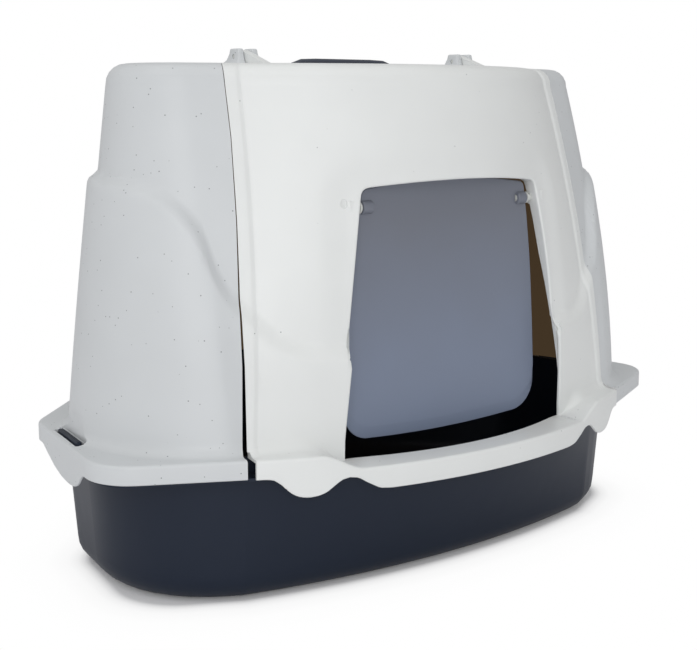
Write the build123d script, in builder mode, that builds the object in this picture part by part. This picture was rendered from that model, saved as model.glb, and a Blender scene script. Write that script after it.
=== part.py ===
from build123d import *
import math
import os

# Covered corner litter box.  X is across, -Y is the front with the door, +Z is up, and the
# origin is on the floor under the middle of the bounding box.  All sizes are millimetres.

# Heights
total_height = 425.0
hinge_rise = 13.0
rim_top = 122.0
skirt_bottom = 107.0
sill_top = 110.0
sill_skirt_bottom = 92.0
tab_bottom = 91.0

# Plan of the rim, right half: middle of the front, then the corners towards the back
rim_front = (0.0, -228.5)
rim_step = (198.7, -178.6)
rim_corner = (297.8, -125.7)
rim_end = (275.5, 31.0)
rim_back = (78.0, 228.5)
rim_radii = (40.0, 24.0, 30.0)
visor_rim_end = (197.0, -181.5)
sill_inner_front = -202.0
sill_inner_end = (190.0, -150.0)

# Plan of the hood wall, right half, at the rim and at the shoulder under the top
base_front_y = -198.0
top_front_y = -172.0
front_bow = 14.0
base_crease = (184.0, -163.5)
top_crease = (162.0, -112.5)
crease_bow = 9.0
base_corner = (349.5, -90.0)
top_corner = (278.5, -68.0)
corner_bow = (5.0, -3.5)
base_rear = (64.5, 195.0)
top_rear = (45.7, 165.0)
base_corner_radius = 110.0
top_corner_radius = 55.0
rear_radius = 34.0
top_edge_radius = 16.0
band_top = 315.0
band_step = 14.0
band_relief = 7.0
corner_lift = (1.375, 0.04)
rear_lift = (0.42, 1.0)
radius_lift = 0.8

# Walls and fits
wall = 2.5
tray_wall = 3.0
seam_gap = 1.0
rim_end_gap = 1.5
flat_gap = 0.3
side_gap = 0.5
running_gap = 0.06
fixed_gap = 0.02
pin_chamfer = 0.4

# Seam between the hood and the visor, in side view (y, z), and its way over the top in plan
seam_foot = (-160.5, 118.0)
seam_middle = (-140.0, 266.0)
seam_head_y = -104.5
visor_top_back = -60.0
visor_top_half = 137.0
visor_top_front = (170.0, -108.0)

# Tray
tray_inset = 19.0
tray_draft = 7.0
tray_bottom_radius = 22.0
tray_front_rake = 24.0
tray_radii = (30.0, 36.0, 36.0)
lip_inset = 4.5
lip_top = 107.0

# Step of the visor's rim down to the sill, from the middle outwards
sill_half = 125.0
step_half = 140.0
tab_x = 160.0
tab_blend = 4.0
end_tab_shift = 20.0
sill_skirt_half = 117.0
tray_front_half = 148.0

# Door opening and door
opening_low = 109.0
opening_bottom_half = 118.0
opening_top = 317.0
opening_top_half = 92.0
opening_rise = 5.0
opening_radius = 10.0
opening_return = 12.0
door_axis_y = -164.5
door_axis_z = 302.0
door_thickness = 2.2
door_top = 315.0
door_crown = 6.0
door_bottom = 114.5
door_sag = 3.0
door_top_half = 87.0
door_knee_half = 103.5
door_knee_z = 168.0
door_low_corner = 28.0
door_high_corner = 5.0
knuckle_radius = 5.5
knuckle_length = 10.0
door_pin_radius = 3.0
door_boss_width = 8.0
door_boss_radius = 7.0
door_boss_wall = 1.5
door_ring_back = 4.0
door_ring_foot = (-178.0, 225.0)
door_ring_head = 305.0
door_collar_radius = 4.5
door_collar_width = 1.6

# Visor hinge on top of the hood
hinge_x = 118.0
hinge_y = -48.0
hinge_lift = 6.5
ear_width = 7.2
ear_radius = 5.5
ear_root = 24.0
cheek_width = 5.2
cheek_foot = (10.0, 14.0)
cheek_head = (6.5, 6.5)
hinge_pin_radius = 2.0

# Carry handle in its pocket
handle_half = 80.0
handle_arm = 14.0
handle_axis_y = 20.0
handle_reach = 42.0
handle_depth = 15.0
handle_thickness = 11.0
handle_proud = 8.0
handle_eye_radius = 5.5
handle_eye_gap = 2.0
handle_edge_radius = 3.5
pocket_gap = 3.0
pocket_front = -34.0
pocket_back = 34.0
pocket_depth = 15.0
pocket_radius = 10.0
handle_pin_radius = 3.0
handle_pin_grip = 10.0
handle_boss_width = 7.0
handle_boss_radius = 6.5
handle_boss_wall = 1.5

# Vent and filter
vent_y = 98.0
vent_slots = 7
vent_slot_length = 46.0
vent_slot_width = 3.6
vent_pitch = 9.0
frame_width = 104.0
frame_depth = 66.0
frame_height = 10.0
frame_wall = 2.5
frame_ledge = 5.0
filter_height = 6.0
frame_axis_inset = 3.0
frame_edge_radius = 4.0
filter_corner_radius = 3.0
frame_windows = (3, 2)
frame_pin_radius = 2.5
frame_pin_length = 5.0
frame_lug_width = 5.0
frame_lug_radius = 5.0

# Latches in the ends of the rim
latch_y = -34.0
latch_edge_inset = 8.6
slot_length = 60.0
slot_width = 8.0
tongue_length = 50.0
tongue_thickness = 4.4
tongue_proud = 1.5
tongue_foot_radius = 2.6
tongue_groove = 0.7
latch_pin_radius = 1.3
ear_block = 5.0
ear_block_depth = 8.2
ear_block_height = 7.2
tongue_edge_radius = 0.8

# Sizes that follow from the others
hood_top = total_height - hinge_rise
shoulder = hood_top - top_edge_radius
seam_head_z = hood_top - 1.0
tray_top = rim_top - wall
tongue_top = rim_top + tongue_proud
hinge_z = hood_top + hinge_lift
pocket_floor = hood_top - pocket_depth
handle_axis_z = pocket_floor + handle_eye_radius + handle_eye_gap
pocket_half = handle_half + pocket_gap
frame_top = hood_top - wall - side_gap
frame_axis_y = vent_y - frame_depth / 2 + frame_axis_inset
frame_axis_z = frame_top - frame_height / 2
frame_lug_height = hood_top - wall / 2 - frame_axis_z
door_side_slope = (opening_bottom_half - opening_top_half) / (opening_top - opening_low)
door_boss_start = opening_top_half + (opening_top - door_axis_z) * door_side_slope + 2 * side_gap
door_edge_slope = (door_knee_half - door_top_half) / (door_top - door_knee_z)
door_collar_low = door_axis_z - door_collar_radius
door_collar_start = door_top_half + (door_top - door_collar_low) * door_edge_slope + flat_gap
door_pin_start = door_top_half - knuckle_length + 2 * side_gap
door_pin_end = door_boss_start + door_boss_width - door_boss_wall - side_gap
latch_foot_z = lip_top + flat_gap + tongue_foot_radius
tab_radius = skirt_bottom - tab_bottom + tab_blend
beyond = 20.0
span = 2 * (rim_corner[0] + beyond)
front_run = -2 * rim_front[1]


def between(low, high, t):
    return low + (high - low) * t


def blend(low, high, t):
    return (between(low[0], high[0], t), between(low[1], high[1], t))


def inset(right_half, amount):
    """Move each side of a symmetric convex outline inwards; the first point is the front middle."""
    corners = right_half + [(-x, y) for x, y in reversed(right_half[1:])]
    count = len(corners)
    moved = []
    for i in range(len(right_half)):
        before = Vector(*corners[i - 1])
        here = Vector(*corners[i])
        after = Vector(*corners[(i + 1) % count])
        first = (here - before).normalized()
        second = (after - here).normalized()
        turn = first.X * second.Y - first.Y * second.X
        normal = Vector(-first.Y, first.X)
        slide = amount * (1 - (first.X * second.X + first.Y * second.Y)) / turn
        corner = here + normal * amount + first * -slide
        moved.append((corner.X, corner.Y))
    return moved


def outline(z, right_half, radii):
    """A level face with a bowed front and straight sides with rounded corners."""
    front, first = right_half[0], right_half[1]
    path = right_half[1:] + [(-x, y) for x, y in reversed(right_half[1:])]
    with BuildSketch(Plane.XY.offset(z)) as face:
        with BuildLine():
            FilletPolyline(*path, radius=list(radii) + list(reversed(radii)))
            ThreePointArc((-first[0], first[1]), front, first)
        make_face()
    return face.sketch


rim_plan = [rim_front, rim_step, rim_corner, rim_end, rim_back]


def rim_face(z, amount):
    return outline(z, inset(rim_plan, amount), [max(r - amount, 6.0) for r in rim_radii])


def rim_band(z, outer, inner):
    """A band along the rim between two insets."""
    with BuildSketch(Plane.XY.offset(z)) as band:
        add(rim_face(0, outer))
        add(rim_face(0, inner), mode=Mode.SUBTRACT)
    return band.sketch


def band_proud(z):
    """How far the raised lower band stands out at one height."""
    return band_relief * min(1.0, max(0.0, (band_top + band_step - z) / band_step))


def hood_plan(z):
    """Right half of the hood wall at one height, with the raised lower band on sides and back."""
    t = (z - rim_top) / (shoulder - rim_top)
    arch = 4 * t * (1 - t)
    proud = band_proud(z)
    front = (0.0, between(base_front_y, top_front_y, t) - front_bow * arch)
    crease = blend(base_crease, top_crease, t)
    crease = (crease[0], crease[1] - crease_bow * arch)
    corner = blend(base_corner, top_corner, t)
    corner = (
        corner[0] + corner_bow[0] * arch + corner_lift[0] * proud,
        corner[1] + corner_bow[1] * arch + corner_lift[1] * proud,
    )
    rear = blend(base_rear, top_rear, t)
    rear = (rear[0] + rear_lift[0] * proud, rear[1] + rear_lift[1] * proud)
    return [front, crease, corner, rear]


def hood_body(thickness, low):
    """The filled shape of the hood inside a wall of this thickness."""
    heights = (low, between(rim_top, band_top, 0.5), band_top, band_top + band_step)
    levels = [(z, thickness) for z in heights]
    arc = top_edge_radius - thickness
    for angle in (0, 30, 60, 90):
        rise = arc * math.sin(math.radians(angle))
        levels.append((shoulder + rise, thickness + arc * (1 - math.cos(math.radians(angle)))))
    with BuildPart() as body:
        for z, amount in levels:
            t = min(1.0, (z - rim_top) / (shoulder - rim_top))
            corner_radius = between(base_corner_radius, top_corner_radius, t) + radius_lift * band_proud(z) - amount
            plan = inset(hood_plan(min(z, shoulder)), amount)
            add(outline(z, plan, [corner_radius, rear_radius - amount]))
        loft(ruled=True)
    return body.part


def visor_region(gap, end_gap):
    """The space that belongs to the visor, grown by gaps at its seam and rim ends for cutting the hood."""
    with BuildPart() as region:
        with BuildSketch(Plane.YZ):
            with BuildLine():
                foot = (seam_foot[0] + gap, seam_foot[1])
                head = (seam_head_y + gap, seam_head_z)
                over = total_height + beyond
                ahead = 2 * rim_front[1]
                ThreePointArc(foot, (seam_middle[0] + gap, seam_middle[1]), head)
                Polyline(head, (head[0], over), (ahead, over), (ahead, 0), (foot[0], 0), foot)
            make_face()
        extrude(amount=span / 2, both=True)
        with BuildSketch():
            for side in sides.values():
                with BuildLine():
                    slant = (visor_rim_end[0] - sill_inner_end[0]) / (sill_inner_end[1] - visor_rim_end[1])
                    edge = [
                        (visor_rim_end[0] + end_gap - slant * (y - visor_rim_end[1]), y)
                        for y in (ahead, rim_corner[1])
                    ]
                    corners = edge + [(span, rim_corner[1]), (span, ahead)]
                    Polyline(*[(side * x, y) for x, y in corners], close=True)
                make_face()
        extrude(amount=rim_top + wall, mode=Mode.SUBTRACT)
        with BuildSketch(Plane.XY.offset(shoulder - top_edge_radius)):
            with BuildLine():
                half = [
                    (visor_top_front[0] + gap, visor_top_front[1] - beyond),
                    (visor_top_front[0] + gap, visor_top_front[1]),
                    (visor_top_half + gap, visor_top_back + gap),
                ]
                Polyline(*half, *[(-x, y) for x, y in reversed(half)], close=True)
            make_face()
        extrude(amount=total_height + beyond - shoulder + top_edge_radius)
    return region.part


def opening_prism(grow, front, back):
    """The door opening through the front wall, grown outwards, between two depths."""
    with BuildPart() as prism:
        with BuildSketch(Plane.XZ.offset(-back)):
            with BuildLine():
                low = opening_low - grow
                high = opening_top + grow
                Polyline(
                    (-opening_top_half - grow, high),
                    (-opening_bottom_half - grow, low),
                    (opening_bottom_half + grow, low),
                    (opening_top_half + grow, high),
                )
                ThreePointArc(
                    (-opening_top_half - grow, high),
                    (0, high + opening_rise),
                    (opening_top_half + grow, high),
                )
            make_face()
            fillet(vertices().group_by(Axis.Y)[-1], opening_radius + grow)
        extrude(amount=back - front)
    return prism.part


def step_band(low, high):
    """Side-to-side profile that follows the rim's top line down to the sill, between two offsets."""
    edge = visor_rim_end[0] + beyond
    half = [(edge, rim_top), (step_half, rim_top), (sill_half, sill_top)]
    line = half + [(-x, z) for x, z in reversed(half)]
    with BuildSketch() as band:
        with BuildLine():
            upper = [(x, z + high) for x, z in line]
            lower = [(x, z + low) for x, z in reversed(line)]
            Polyline(*upper, *lower, close=True)
        make_face()
    return band.sketch


def latch_plane(side, z):
    """A plane on the rim's end, with local x along the slot and y pointing outwards."""
    run = Vector(rim_end[0] - rim_corner[0], rim_end[1] - rim_corner[1]).normalized()
    along = Vector(side * run.X, run.Y)
    share = (latch_y - rim_corner[1]) / (rim_end[1] - rim_corner[1])
    edge_x = between(rim_corner[0], rim_end[0], share)
    centre = Vector(side * (edge_x - latch_edge_inset), latch_y, z)
    return Plane(origin=centre, x_dir=along, z_dir=(0, 0, 1))


sides = {"left": -1, "right": 1}
hood_outer = hood_body(0.0, tray_top)
hood_inner = hood_body(wall, tray_top - 2 * wall)
visor_space = visor_region(0.0, 0.0)
hood_cut = visor_region(seam_gap, rim_end_gap)


def tray_bowl(thickness, top):
    """The filled shape of the tray inside a wall of this thickness."""
    arc = tray_bottom_radius - thickness
    levels = []
    for angle in (90, 60, 30, 0):
        drop = arc * math.sin(math.radians(angle))
        levels.append((tray_bottom_radius - drop, thickness + arc * (1 - math.cos(math.radians(angle)))))
    levels.append((top, thickness))
    with BuildPart() as bowl:
        for z, amount in levels:
            depth = 1 - max(z - tray_bottom_radius, 0.0) / (tray_top - tray_bottom_radius)
            plan = inset(rim_plan, tray_inset + tray_draft * depth + amount)
            plan[0] = (0.0, plan[0][1] + tray_front_rake * depth)
            add(outline(z, plan, tray_radii))
        loft(ruled=True)
    return bowl.part


def across(x, y, z):
    """A plane standing across the object at x, with local x to the back and local y up."""
    return Plane(origin=(x, y, z), x_dir=(0, 1, 0), z_dir=(1, 0, 0))


# Tray: a raked bowl with a flat lip outside its upstanding edge, low at the front
with BuildPart() as tray:
    add(tray_bowl(0.0, tray_top))
    add(rim_face(lip_top, lip_inset))
    extrude(amount=-wall)
    add(tray_bowl(tray_wall, tray_top + wall), mode=Mode.SUBTRACT)
    with BuildSketch(Plane.XY.offset(lip_top)):
        with Locations((0, rim_front[1])):
            Rectangle(2 * tray_front_half, -rim_front[1])
    extrude(amount=total_height, mode=Mode.SUBTRACT)
    for side in sides.values():
        plane = latch_plane(side, lip_top)
        reach = tongue_length / 2 + flat_gap + ear_block / 2
        with BuildSketch(plane):
            with Locations((-reach, 0), (reach, 0)):
                Rectangle(ear_block, ear_block_depth)
        extrude(amount=ear_block_height)
        centre = (plane.origin.X, plane.origin.Y, latch_foot_z)
        with BuildSketch(Plane(origin=centre, z_dir=plane.x_dir)):
            Circle(latch_pin_radius + running_gap)
        extrude(amount=tongue_length / 2 + ear_block + 1, both=True, mode=Mode.SUBTRACT)
tray.part.label = "tray"

# Latch tongues on the tray, standing in the slots of the hood's rim
latches = {}
for name, side in sides.items():
    plane = latch_plane(side, latch_foot_z)
    height = tongue_top - latch_foot_z
    with BuildPart() as latch:
        with BuildSketch(Plane(origin=plane.origin, x_dir=plane.y_dir, z_dir=plane.x_dir)):
            Circle(tongue_foot_radius)
            with Locations((0, height / 2)):
                Rectangle(tongue_thickness, height)
        extrude(amount=tongue_length / 2, both=True)
        fillet(latch.edges().group_by(Axis.Z)[-1], tongue_edge_radius)
        with BuildSketch(latch_plane(side, tongue_top)):
            with GridLocations(0, tongue_thickness / 3, 1, 2):
                Rectangle(tongue_length, tongue_groove)
        extrude(amount=-tongue_groove, mode=Mode.SUBTRACT)
        with BuildSketch(Plane(origin=plane.origin, z_dir=plane.x_dir)):
            Circle(latch_pin_radius)
        extrude(amount=tongue_length / 2 + flat_gap + ear_block, both=True)
    latch.part.label = "tray_latch_" + name
    latches[name] = latch

# Finger tabs that hang from the ends of the hood's rim
with BuildPart() as end_tabs:
    add(rim_band(tab_bottom, 0.0, wall))
    extrude(amount=skirt_bottom - tab_bottom + 1)
    with BuildSketch(Plane.YZ):
        with Locations((latch_y - end_tab_shift, tab_bottom + tab_radius)):
            Circle(tab_radius)
    extrude(amount=span / 2, both=True, mode=Mode.INTERSECT)

# Hood: rear shell with its rim, hinge cheeks, handle pocket, vent and filter lugs
with BuildPart() as hood_shell:
    add(hood_outer)
    add(rim_face(tray_top, 0.0))
    extrude(amount=wall)
    add(hood_inner, mode=Mode.SUBTRACT)
    add(rim_band(skirt_bottom, 0.0, wall))
    extrude(amount=rim_top - skirt_bottom)
    add(end_tabs.part)
    for side in sides.values():
        with BuildSketch(latch_plane(side, skirt_bottom)):
            Rectangle(slot_length, slot_width)
        extrude(amount=rim_top + wall - skirt_bottom, mode=Mode.SUBTRACT)
    middle = (pocket_front + pocket_back) / 2
    length = pocket_back - pocket_front
    with BuildSketch(Plane.XY.offset(pocket_floor - wall)):
        with Locations((0, middle)):
            RectangleRounded(2 * (pocket_half + wall), length + 2 * wall, pocket_radius + wall)
    extrude(amount=pocket_depth + wall / 2)
    for side in sides.values():
        with BuildSketch(across(side * pocket_half, handle_axis_y, handle_axis_z)):
            Circle(handle_boss_radius)
        extrude(amount=side * handle_boss_width)
    with BuildSketch(Plane.XY.offset(pocket_floor)):
        with Locations((0, middle)):
            RectangleRounded(2 * pocket_half, length, pocket_radius)
    extrude(amount=pocket_depth + wall, mode=Mode.SUBTRACT)
    for side in sides.values():
        with BuildSketch(across(side * handle_half, handle_axis_y, handle_axis_z)):
            Circle(handle_pin_radius + running_gap)
        extrude(amount=side * (pocket_gap + handle_boss_width - handle_boss_wall), mode=Mode.SUBTRACT)
    with BuildSketch(Plane.XY.offset(hood_top - 2 * wall)):
        with Locations((0, vent_y)):
            with GridLocations(vent_pitch, 0, vent_slots, 1):
                SlotOverall(vent_slot_length, vent_slot_width, rotation=90)
    extrude(amount=3 * wall, mode=Mode.SUBTRACT)
    for side in sides.values():
        start = side * (frame_width / 2 + side_gap)
        with BuildSketch(across(start, frame_axis_y, frame_axis_z)):
            Circle(frame_lug_radius)
            with Locations((0, frame_lug_height / 2)):
                Rectangle(2 * frame_lug_radius, frame_lug_height)
            Circle(frame_pin_radius + running_gap, mode=Mode.SUBTRACT)
        extrude(amount=side * frame_lug_width)
    add(hood_cut, mode=Mode.SUBTRACT)
    for side in sides.values():
        for hand in (-1, 1):
            start = side * hinge_x + hand * (ear_width / 2 + side_gap)
            with BuildSketch(across(start, hinge_y, 0)):
                with BuildLine():
                    Polyline(
                        (-cheek_foot[0], hood_top - wall / 2),
                        (-cheek_head[0], total_height),
                        (cheek_head[1], total_height),
                        (cheek_foot[1], hood_top - wall / 2),
                        close=True,
                    )
                make_face()
                with Locations((0, hinge_z)):
                    Circle(hinge_pin_radius + fixed_gap, mode=Mode.SUBTRACT)
            extrude(amount=hand * cheek_width)
hood_shell.part.label = "hood_shell"

# Visor: the front wall, its rim stepped down to the sill, and the ring and bosses of the door
visor_outer = hood_body(0.0, sill_top - wall)
visor_inner = hood_body(wall, sill_top - 3 * wall)
visor_deeper = hood_body(opening_return, sill_top - 3 * wall)

with BuildPart() as visor_plate:
    with BuildSketch():
        with BuildLine():
            ThreePointArc((-visor_rim_end[0], visor_rim_end[1]), rim_front, visor_rim_end)
            Line(visor_rim_end, sill_inner_end)
            ThreePointArc(sill_inner_end, (0, sill_inner_front), (-sill_inner_end[0], sill_inner_end[1]))
            Line((-sill_inner_end[0], sill_inner_end[1]), (-visor_rim_end[0], visor_rim_end[1]))
        make_face()
    extrude(amount=rim_top)
    with BuildSketch(Plane.XZ):
        add(step_band(-wall, 0))
    extrude(amount=front_run, mode=Mode.INTERSECT)
    add(visor_space, mode=Mode.INTERSECT)

with BuildPart() as visor_skirt:
    with BuildSketch():
        with BuildSketch(mode=Mode.PRIVATE) as segment:
            with BuildLine():
                ThreePointArc((-visor_rim_end[0], visor_rim_end[1]), rim_front, visor_rim_end)
                Line(visor_rim_end, (-visor_rim_end[0], visor_rim_end[1]))
            make_face()
        add(segment.sketch)
        with Locations((0, wall)):
            add(segment.sketch, mode=Mode.SUBTRACT)
    extrude(amount=rim_top)
    with BuildSketch(Plane.XZ):
        add(step_band(skirt_bottom - rim_top, 0))
        with Locations((0, (sill_top + sill_skirt_bottom) / 2)):
            Rectangle(2 * sill_skirt_half, sill_top - sill_skirt_bottom)
        for side in sides.values():
            with Locations((side * tab_x, tab_bottom + tab_radius)):
                Circle(tab_radius)
    extrude(amount=front_run, mode=Mode.INTERSECT)

with BuildPart() as door_ring:
    add(visor_outer)
    add(visor_deeper, mode=Mode.SUBTRACT)
    add(opening_prism(wall, rim_front[1], door_axis_y + door_ring_back), mode=Mode.INTERSECT)
    with Locations((0, door_axis_y, 0)):
        Box(2 * step_half, -rim_front[1], 2 * sill_top, mode=Mode.SUBTRACT)
    with BuildSketch(Plane.YZ):
        with BuildLine():
            Polyline(
                door_ring_foot,
                (door_axis_y + door_ring_back, door_ring_head),
                (0, door_ring_head),
                (0, 0),
                (door_ring_foot[0], 0),
                close=True,
            )
        make_face()
    extrude(amount=span / 2, both=True, mode=Mode.SUBTRACT)
    for side in sides.values():
        with BuildSketch(across(side * door_boss_start, door_axis_y, door_axis_z)):
            Circle(door_boss_radius)
            with Locations((-door_boss_radius, 0)):
                Rectangle(2 * door_boss_radius, 2 * door_boss_radius)
        extrude(amount=side * door_boss_width)
    add(visor_outer, mode=Mode.INTERSECT)

with BuildPart() as visor_shell:
    add(visor_outer)
    add(visor_inner, mode=Mode.SUBTRACT)
    add(visor_space, mode=Mode.INTERSECT)
    with BuildSketch(Plane.XZ):
        add(step_band(-rim_top, -wall))
    extrude(amount=front_run, mode=Mode.SUBTRACT)
    add(visor_plate.part)
    add(visor_skirt.part)
    add(door_ring.part)
    add(opening_prism(0.0, 1.5 * rim_front[1], 0), mode=Mode.SUBTRACT)
    for side in sides.values():
        with BuildSketch(across(side * (door_top_half - knuckle_length), door_axis_y, door_axis_z)):
            Circle(door_pin_radius + running_gap)
        reach = door_pin_end + side_gap - door_top_half + knuckle_length
        extrude(amount=side * reach, mode=Mode.SUBTRACT)
    for side in sides.values():
        with BuildSketch(across(side * hinge_x, hinge_y, hinge_z)):
            Circle(ear_radius)
            root = visor_top_back - hinge_y
            with Locations((root - ear_root / 2, hood_top - hinge_z)):
                Rectangle(ear_root, 1)
            make_hull()
            with Locations((0, hood_top - hinge_z + side_gap)):
                Rectangle(
                    -2 * root + 1, 10,
                    align=(Align.CENTER, Align.MAX), mode=Mode.SUBTRACT,
                )
            Circle(hinge_pin_radius + running_gap, mode=Mode.SUBTRACT)
        extrude(amount=ear_width / 2, both=True)
visor_shell.part.label = "visor_shell"

# Pins of the visor's hinge, held in the cheeks
hinge_pins = {}
for name, side in sides.items():
    with BuildPart() as pin:
        with BuildSketch(across(side * hinge_x, hinge_y, hinge_z)):
            Circle(hinge_pin_radius)
        extrude(amount=ear_width / 2 + side_gap + cheek_width, both=True)
        chamfer(pin.edges(), pin_chamfer)
    pin.part.label = "visor_hinge_pin_" + name
    hinge_pins[name] = pin

# Swing door: a frosted flap with a knuckle at each top corner
with BuildPart() as door_flap:
    with BuildSketch(Plane.XZ.offset(-door_axis_y - door_thickness / 2)):
        with BuildLine():
            low = door_bottom + door_sag
            Polyline(
                (-door_knee_half, low),
                (-door_knee_half, door_knee_z),
                (-door_top_half, door_top),
            )
            ThreePointArc((-door_top_half, door_top), (0, door_top + door_crown), (door_top_half, door_top))
            Polyline(
                (door_top_half, door_top),
                (door_knee_half, door_knee_z),
                (door_knee_half, low),
            )
            ThreePointArc((door_knee_half, low), (0, door_bottom), (-door_knee_half, low))
        make_face()
        fillet(vertices().group_by(Axis.Y)[0], door_low_corner)
        fillet(vertices().group_by(Axis.Y)[-1], door_high_corner)
    extrude(amount=door_thickness)
    for side in sides.values():
        with BuildSketch(across(side * door_top_half, door_axis_y, door_axis_z)):
            Circle(knuckle_radius)
        extrude(amount=-side * knuckle_length)
        with BuildSketch(across(side * door_collar_start, door_axis_y, door_axis_z)):
            Circle(door_pin_radius + fixed_gap)
        extrude(amount=side * (door_top_half - knuckle_length - door_collar_start), mode=Mode.SUBTRACT)
door_flap.part.label = "door_flap"

# Door pins, fixed in the knuckles and turning in the bosses behind the opening
door_pins = {}
for name, side in sides.items():
    with BuildPart() as pin:
        with BuildSketch(across(side * door_pin_start, door_axis_y, door_axis_z)):
            Circle(door_pin_radius)
        extrude(amount=side * (door_pin_end - door_pin_start))
        with BuildSketch(across(side * door_collar_start, door_axis_y, door_axis_z)):
            Circle(door_collar_radius)
        extrude(amount=side * door_collar_width)
    pin.part.label = "door_pin_" + name
    door_pins[name] = pin

# Carry handle: a bail that folds flat into its pocket, with a proud grip
with BuildPart() as carry_handle:
    grip_y = -handle_reach
    grip_z = hood_top + handle_proud - handle_thickness / 2 - handle_axis_z
    with BuildSketch(across(-handle_half, handle_axis_y, handle_axis_z)):
        Circle(handle_eye_radius)
        with Locations((grip_y, grip_z)):
            Rectangle(handle_depth, handle_thickness)
        make_hull()
    extrude(amount=2 * handle_half)
    with BuildSketch(Plane.XY.offset(pocket_floor)):
        with Locations((0, handle_axis_y + grip_y + handle_depth / 2)):
            Rectangle(2 * (handle_half - handle_arm), total_height, align=(Align.CENTER, Align.MIN))
    extrude(amount=total_height - pocket_floor, mode=Mode.SUBTRACT)
    fillet(carry_handle.edges().filter_by(Axis.X).group_by(Axis.Y)[0], handle_edge_radius)
    for side in sides.values():
        with BuildSketch(across(side * handle_half, handle_axis_y, handle_axis_z)):
            Circle(handle_pin_radius + fixed_gap)
        extrude(amount=-side * handle_pin_grip, mode=Mode.SUBTRACT)
carry_handle.part.label = "carry_handle"

# Handle pins, fixed in the arms and turning in the bosses of the pocket
handle_pins = {}
for name, side in sides.items():
    start = handle_half - handle_pin_grip + side_gap
    end = handle_half + pocket_gap + handle_boss_width - handle_boss_wall - side_gap
    with BuildPart() as pin:
        with BuildSketch(across(side * start, handle_axis_y, handle_axis_z)):
            Circle(handle_pin_radius)
        extrude(amount=side * (end - start))
        chamfer(pin.edges(), pin_chamfer)
    pin.part.label = "handle_pin_" + name
    handle_pins[name] = pin

# Filter frame under the vent, hung from two trunnions, and the carbon pad in it
with BuildPart() as filter_frame:
    with BuildSketch(Plane.XY.offset(frame_top - frame_height)):
        with Locations((0, vent_y)):
            Rectangle(frame_width, frame_depth)
    extrude(amount=frame_height)
    swinging = filter_frame.edges().filter_by(Axis.X).group_by(Axis.Y)[0].group_by(Axis.Z)[-1]
    fillet(swinging, frame_edge_radius)
    with BuildSketch(Plane.XY.offset(frame_top - frame_height + wall)):
        with Locations((0, vent_y)):
            Rectangle(frame_width - 2 * frame_wall, frame_depth - 2 * frame_wall)
    extrude(amount=frame_height, mode=Mode.SUBTRACT)
    with BuildSketch(Plane.XY.offset(frame_top - frame_height)):
        with Locations((0, vent_y)):
            pitch_x = (frame_width - frame_ledge) / frame_windows[0]
            pitch_y = (frame_depth - frame_ledge) / frame_windows[1]
            with GridLocations(pitch_x, pitch_y, *frame_windows):
                Rectangle(pitch_x - frame_ledge, pitch_y - frame_ledge)
    extrude(amount=wall, mode=Mode.SUBTRACT)
    for side in sides.values():
        with BuildSketch(across(side * frame_width / 2, frame_axis_y, frame_axis_z)):
            Circle(frame_pin_radius)
        extrude(amount=side * frame_pin_length)
filter_frame.part.label = "filter_frame"

with BuildPart() as carbon_filter:
    with BuildSketch(Plane.XY.offset(frame_top - frame_height + wall)):
        with Locations((0, vent_y)):
            inner = 2 * (frame_wall + flat_gap)
            Rectangle(frame_width - inner, frame_depth - inner)
    extrude(amount=filter_height)
    fillet(carbon_filter.edges().filter_by(Axis.Z), filter_corner_radius)
carbon_filter.part.label = "carbon_filter"

pieces = [tray, hood_shell, visor_shell, door_flap, carry_handle, filter_frame, carbon_filter]
for group in (latches, hinge_pins, door_pins, handle_pins):
    pieces += group.values()
os.makedirs("parts", exist_ok=True)
for piece in pieces:
    export_step(piece.part, "parts/" + piece.part.label + ".step")
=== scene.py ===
import math
from types import SimpleNamespace

import bmesh
import bpy
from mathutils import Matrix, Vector


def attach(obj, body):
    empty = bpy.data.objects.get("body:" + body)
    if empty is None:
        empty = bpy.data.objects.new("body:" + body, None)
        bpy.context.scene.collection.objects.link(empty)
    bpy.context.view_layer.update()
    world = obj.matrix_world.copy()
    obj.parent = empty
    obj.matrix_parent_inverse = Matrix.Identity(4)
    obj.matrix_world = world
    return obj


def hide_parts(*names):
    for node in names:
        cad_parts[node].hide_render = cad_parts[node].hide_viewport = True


bl_info = {
    "name": "Covered corner litter box",
    "version": (1, 0, 0),
    "blender": (4, 5, 0),
    "location": "3D View > Sidebar > Litter box",
    "description": "Builds the looks of a covered corner litter box around its CAD frame",
    "category": "Add Mesh",
}

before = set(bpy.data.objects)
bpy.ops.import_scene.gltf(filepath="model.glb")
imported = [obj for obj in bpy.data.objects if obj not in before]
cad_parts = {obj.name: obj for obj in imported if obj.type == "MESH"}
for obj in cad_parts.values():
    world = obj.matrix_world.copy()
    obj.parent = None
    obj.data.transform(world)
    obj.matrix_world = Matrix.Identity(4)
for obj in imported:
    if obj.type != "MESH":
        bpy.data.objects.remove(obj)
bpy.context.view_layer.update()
MM = 0.001
SIDES = {"left": -1, "right": 1}
CIRCLE_POINTS = 32
# Edges are shaded smooth below the first angle, and small solids are rounded at edges above the second.
SMOOTH_ANGLE = math.radians(32)
SHARP_ANGLE = math.radians(35)
FLOOR_REACH = 8000

# Outlines below are in millimetres, right half only, from the middle of the front to the back.
RIM = [(0, -228.5), (198.7, -178.6), (300, -128), (276, 31), (78, 228.5)]
RIM_RADII = (40, 36, 30)
TRAY_RADII = (110, 40, 46)
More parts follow.
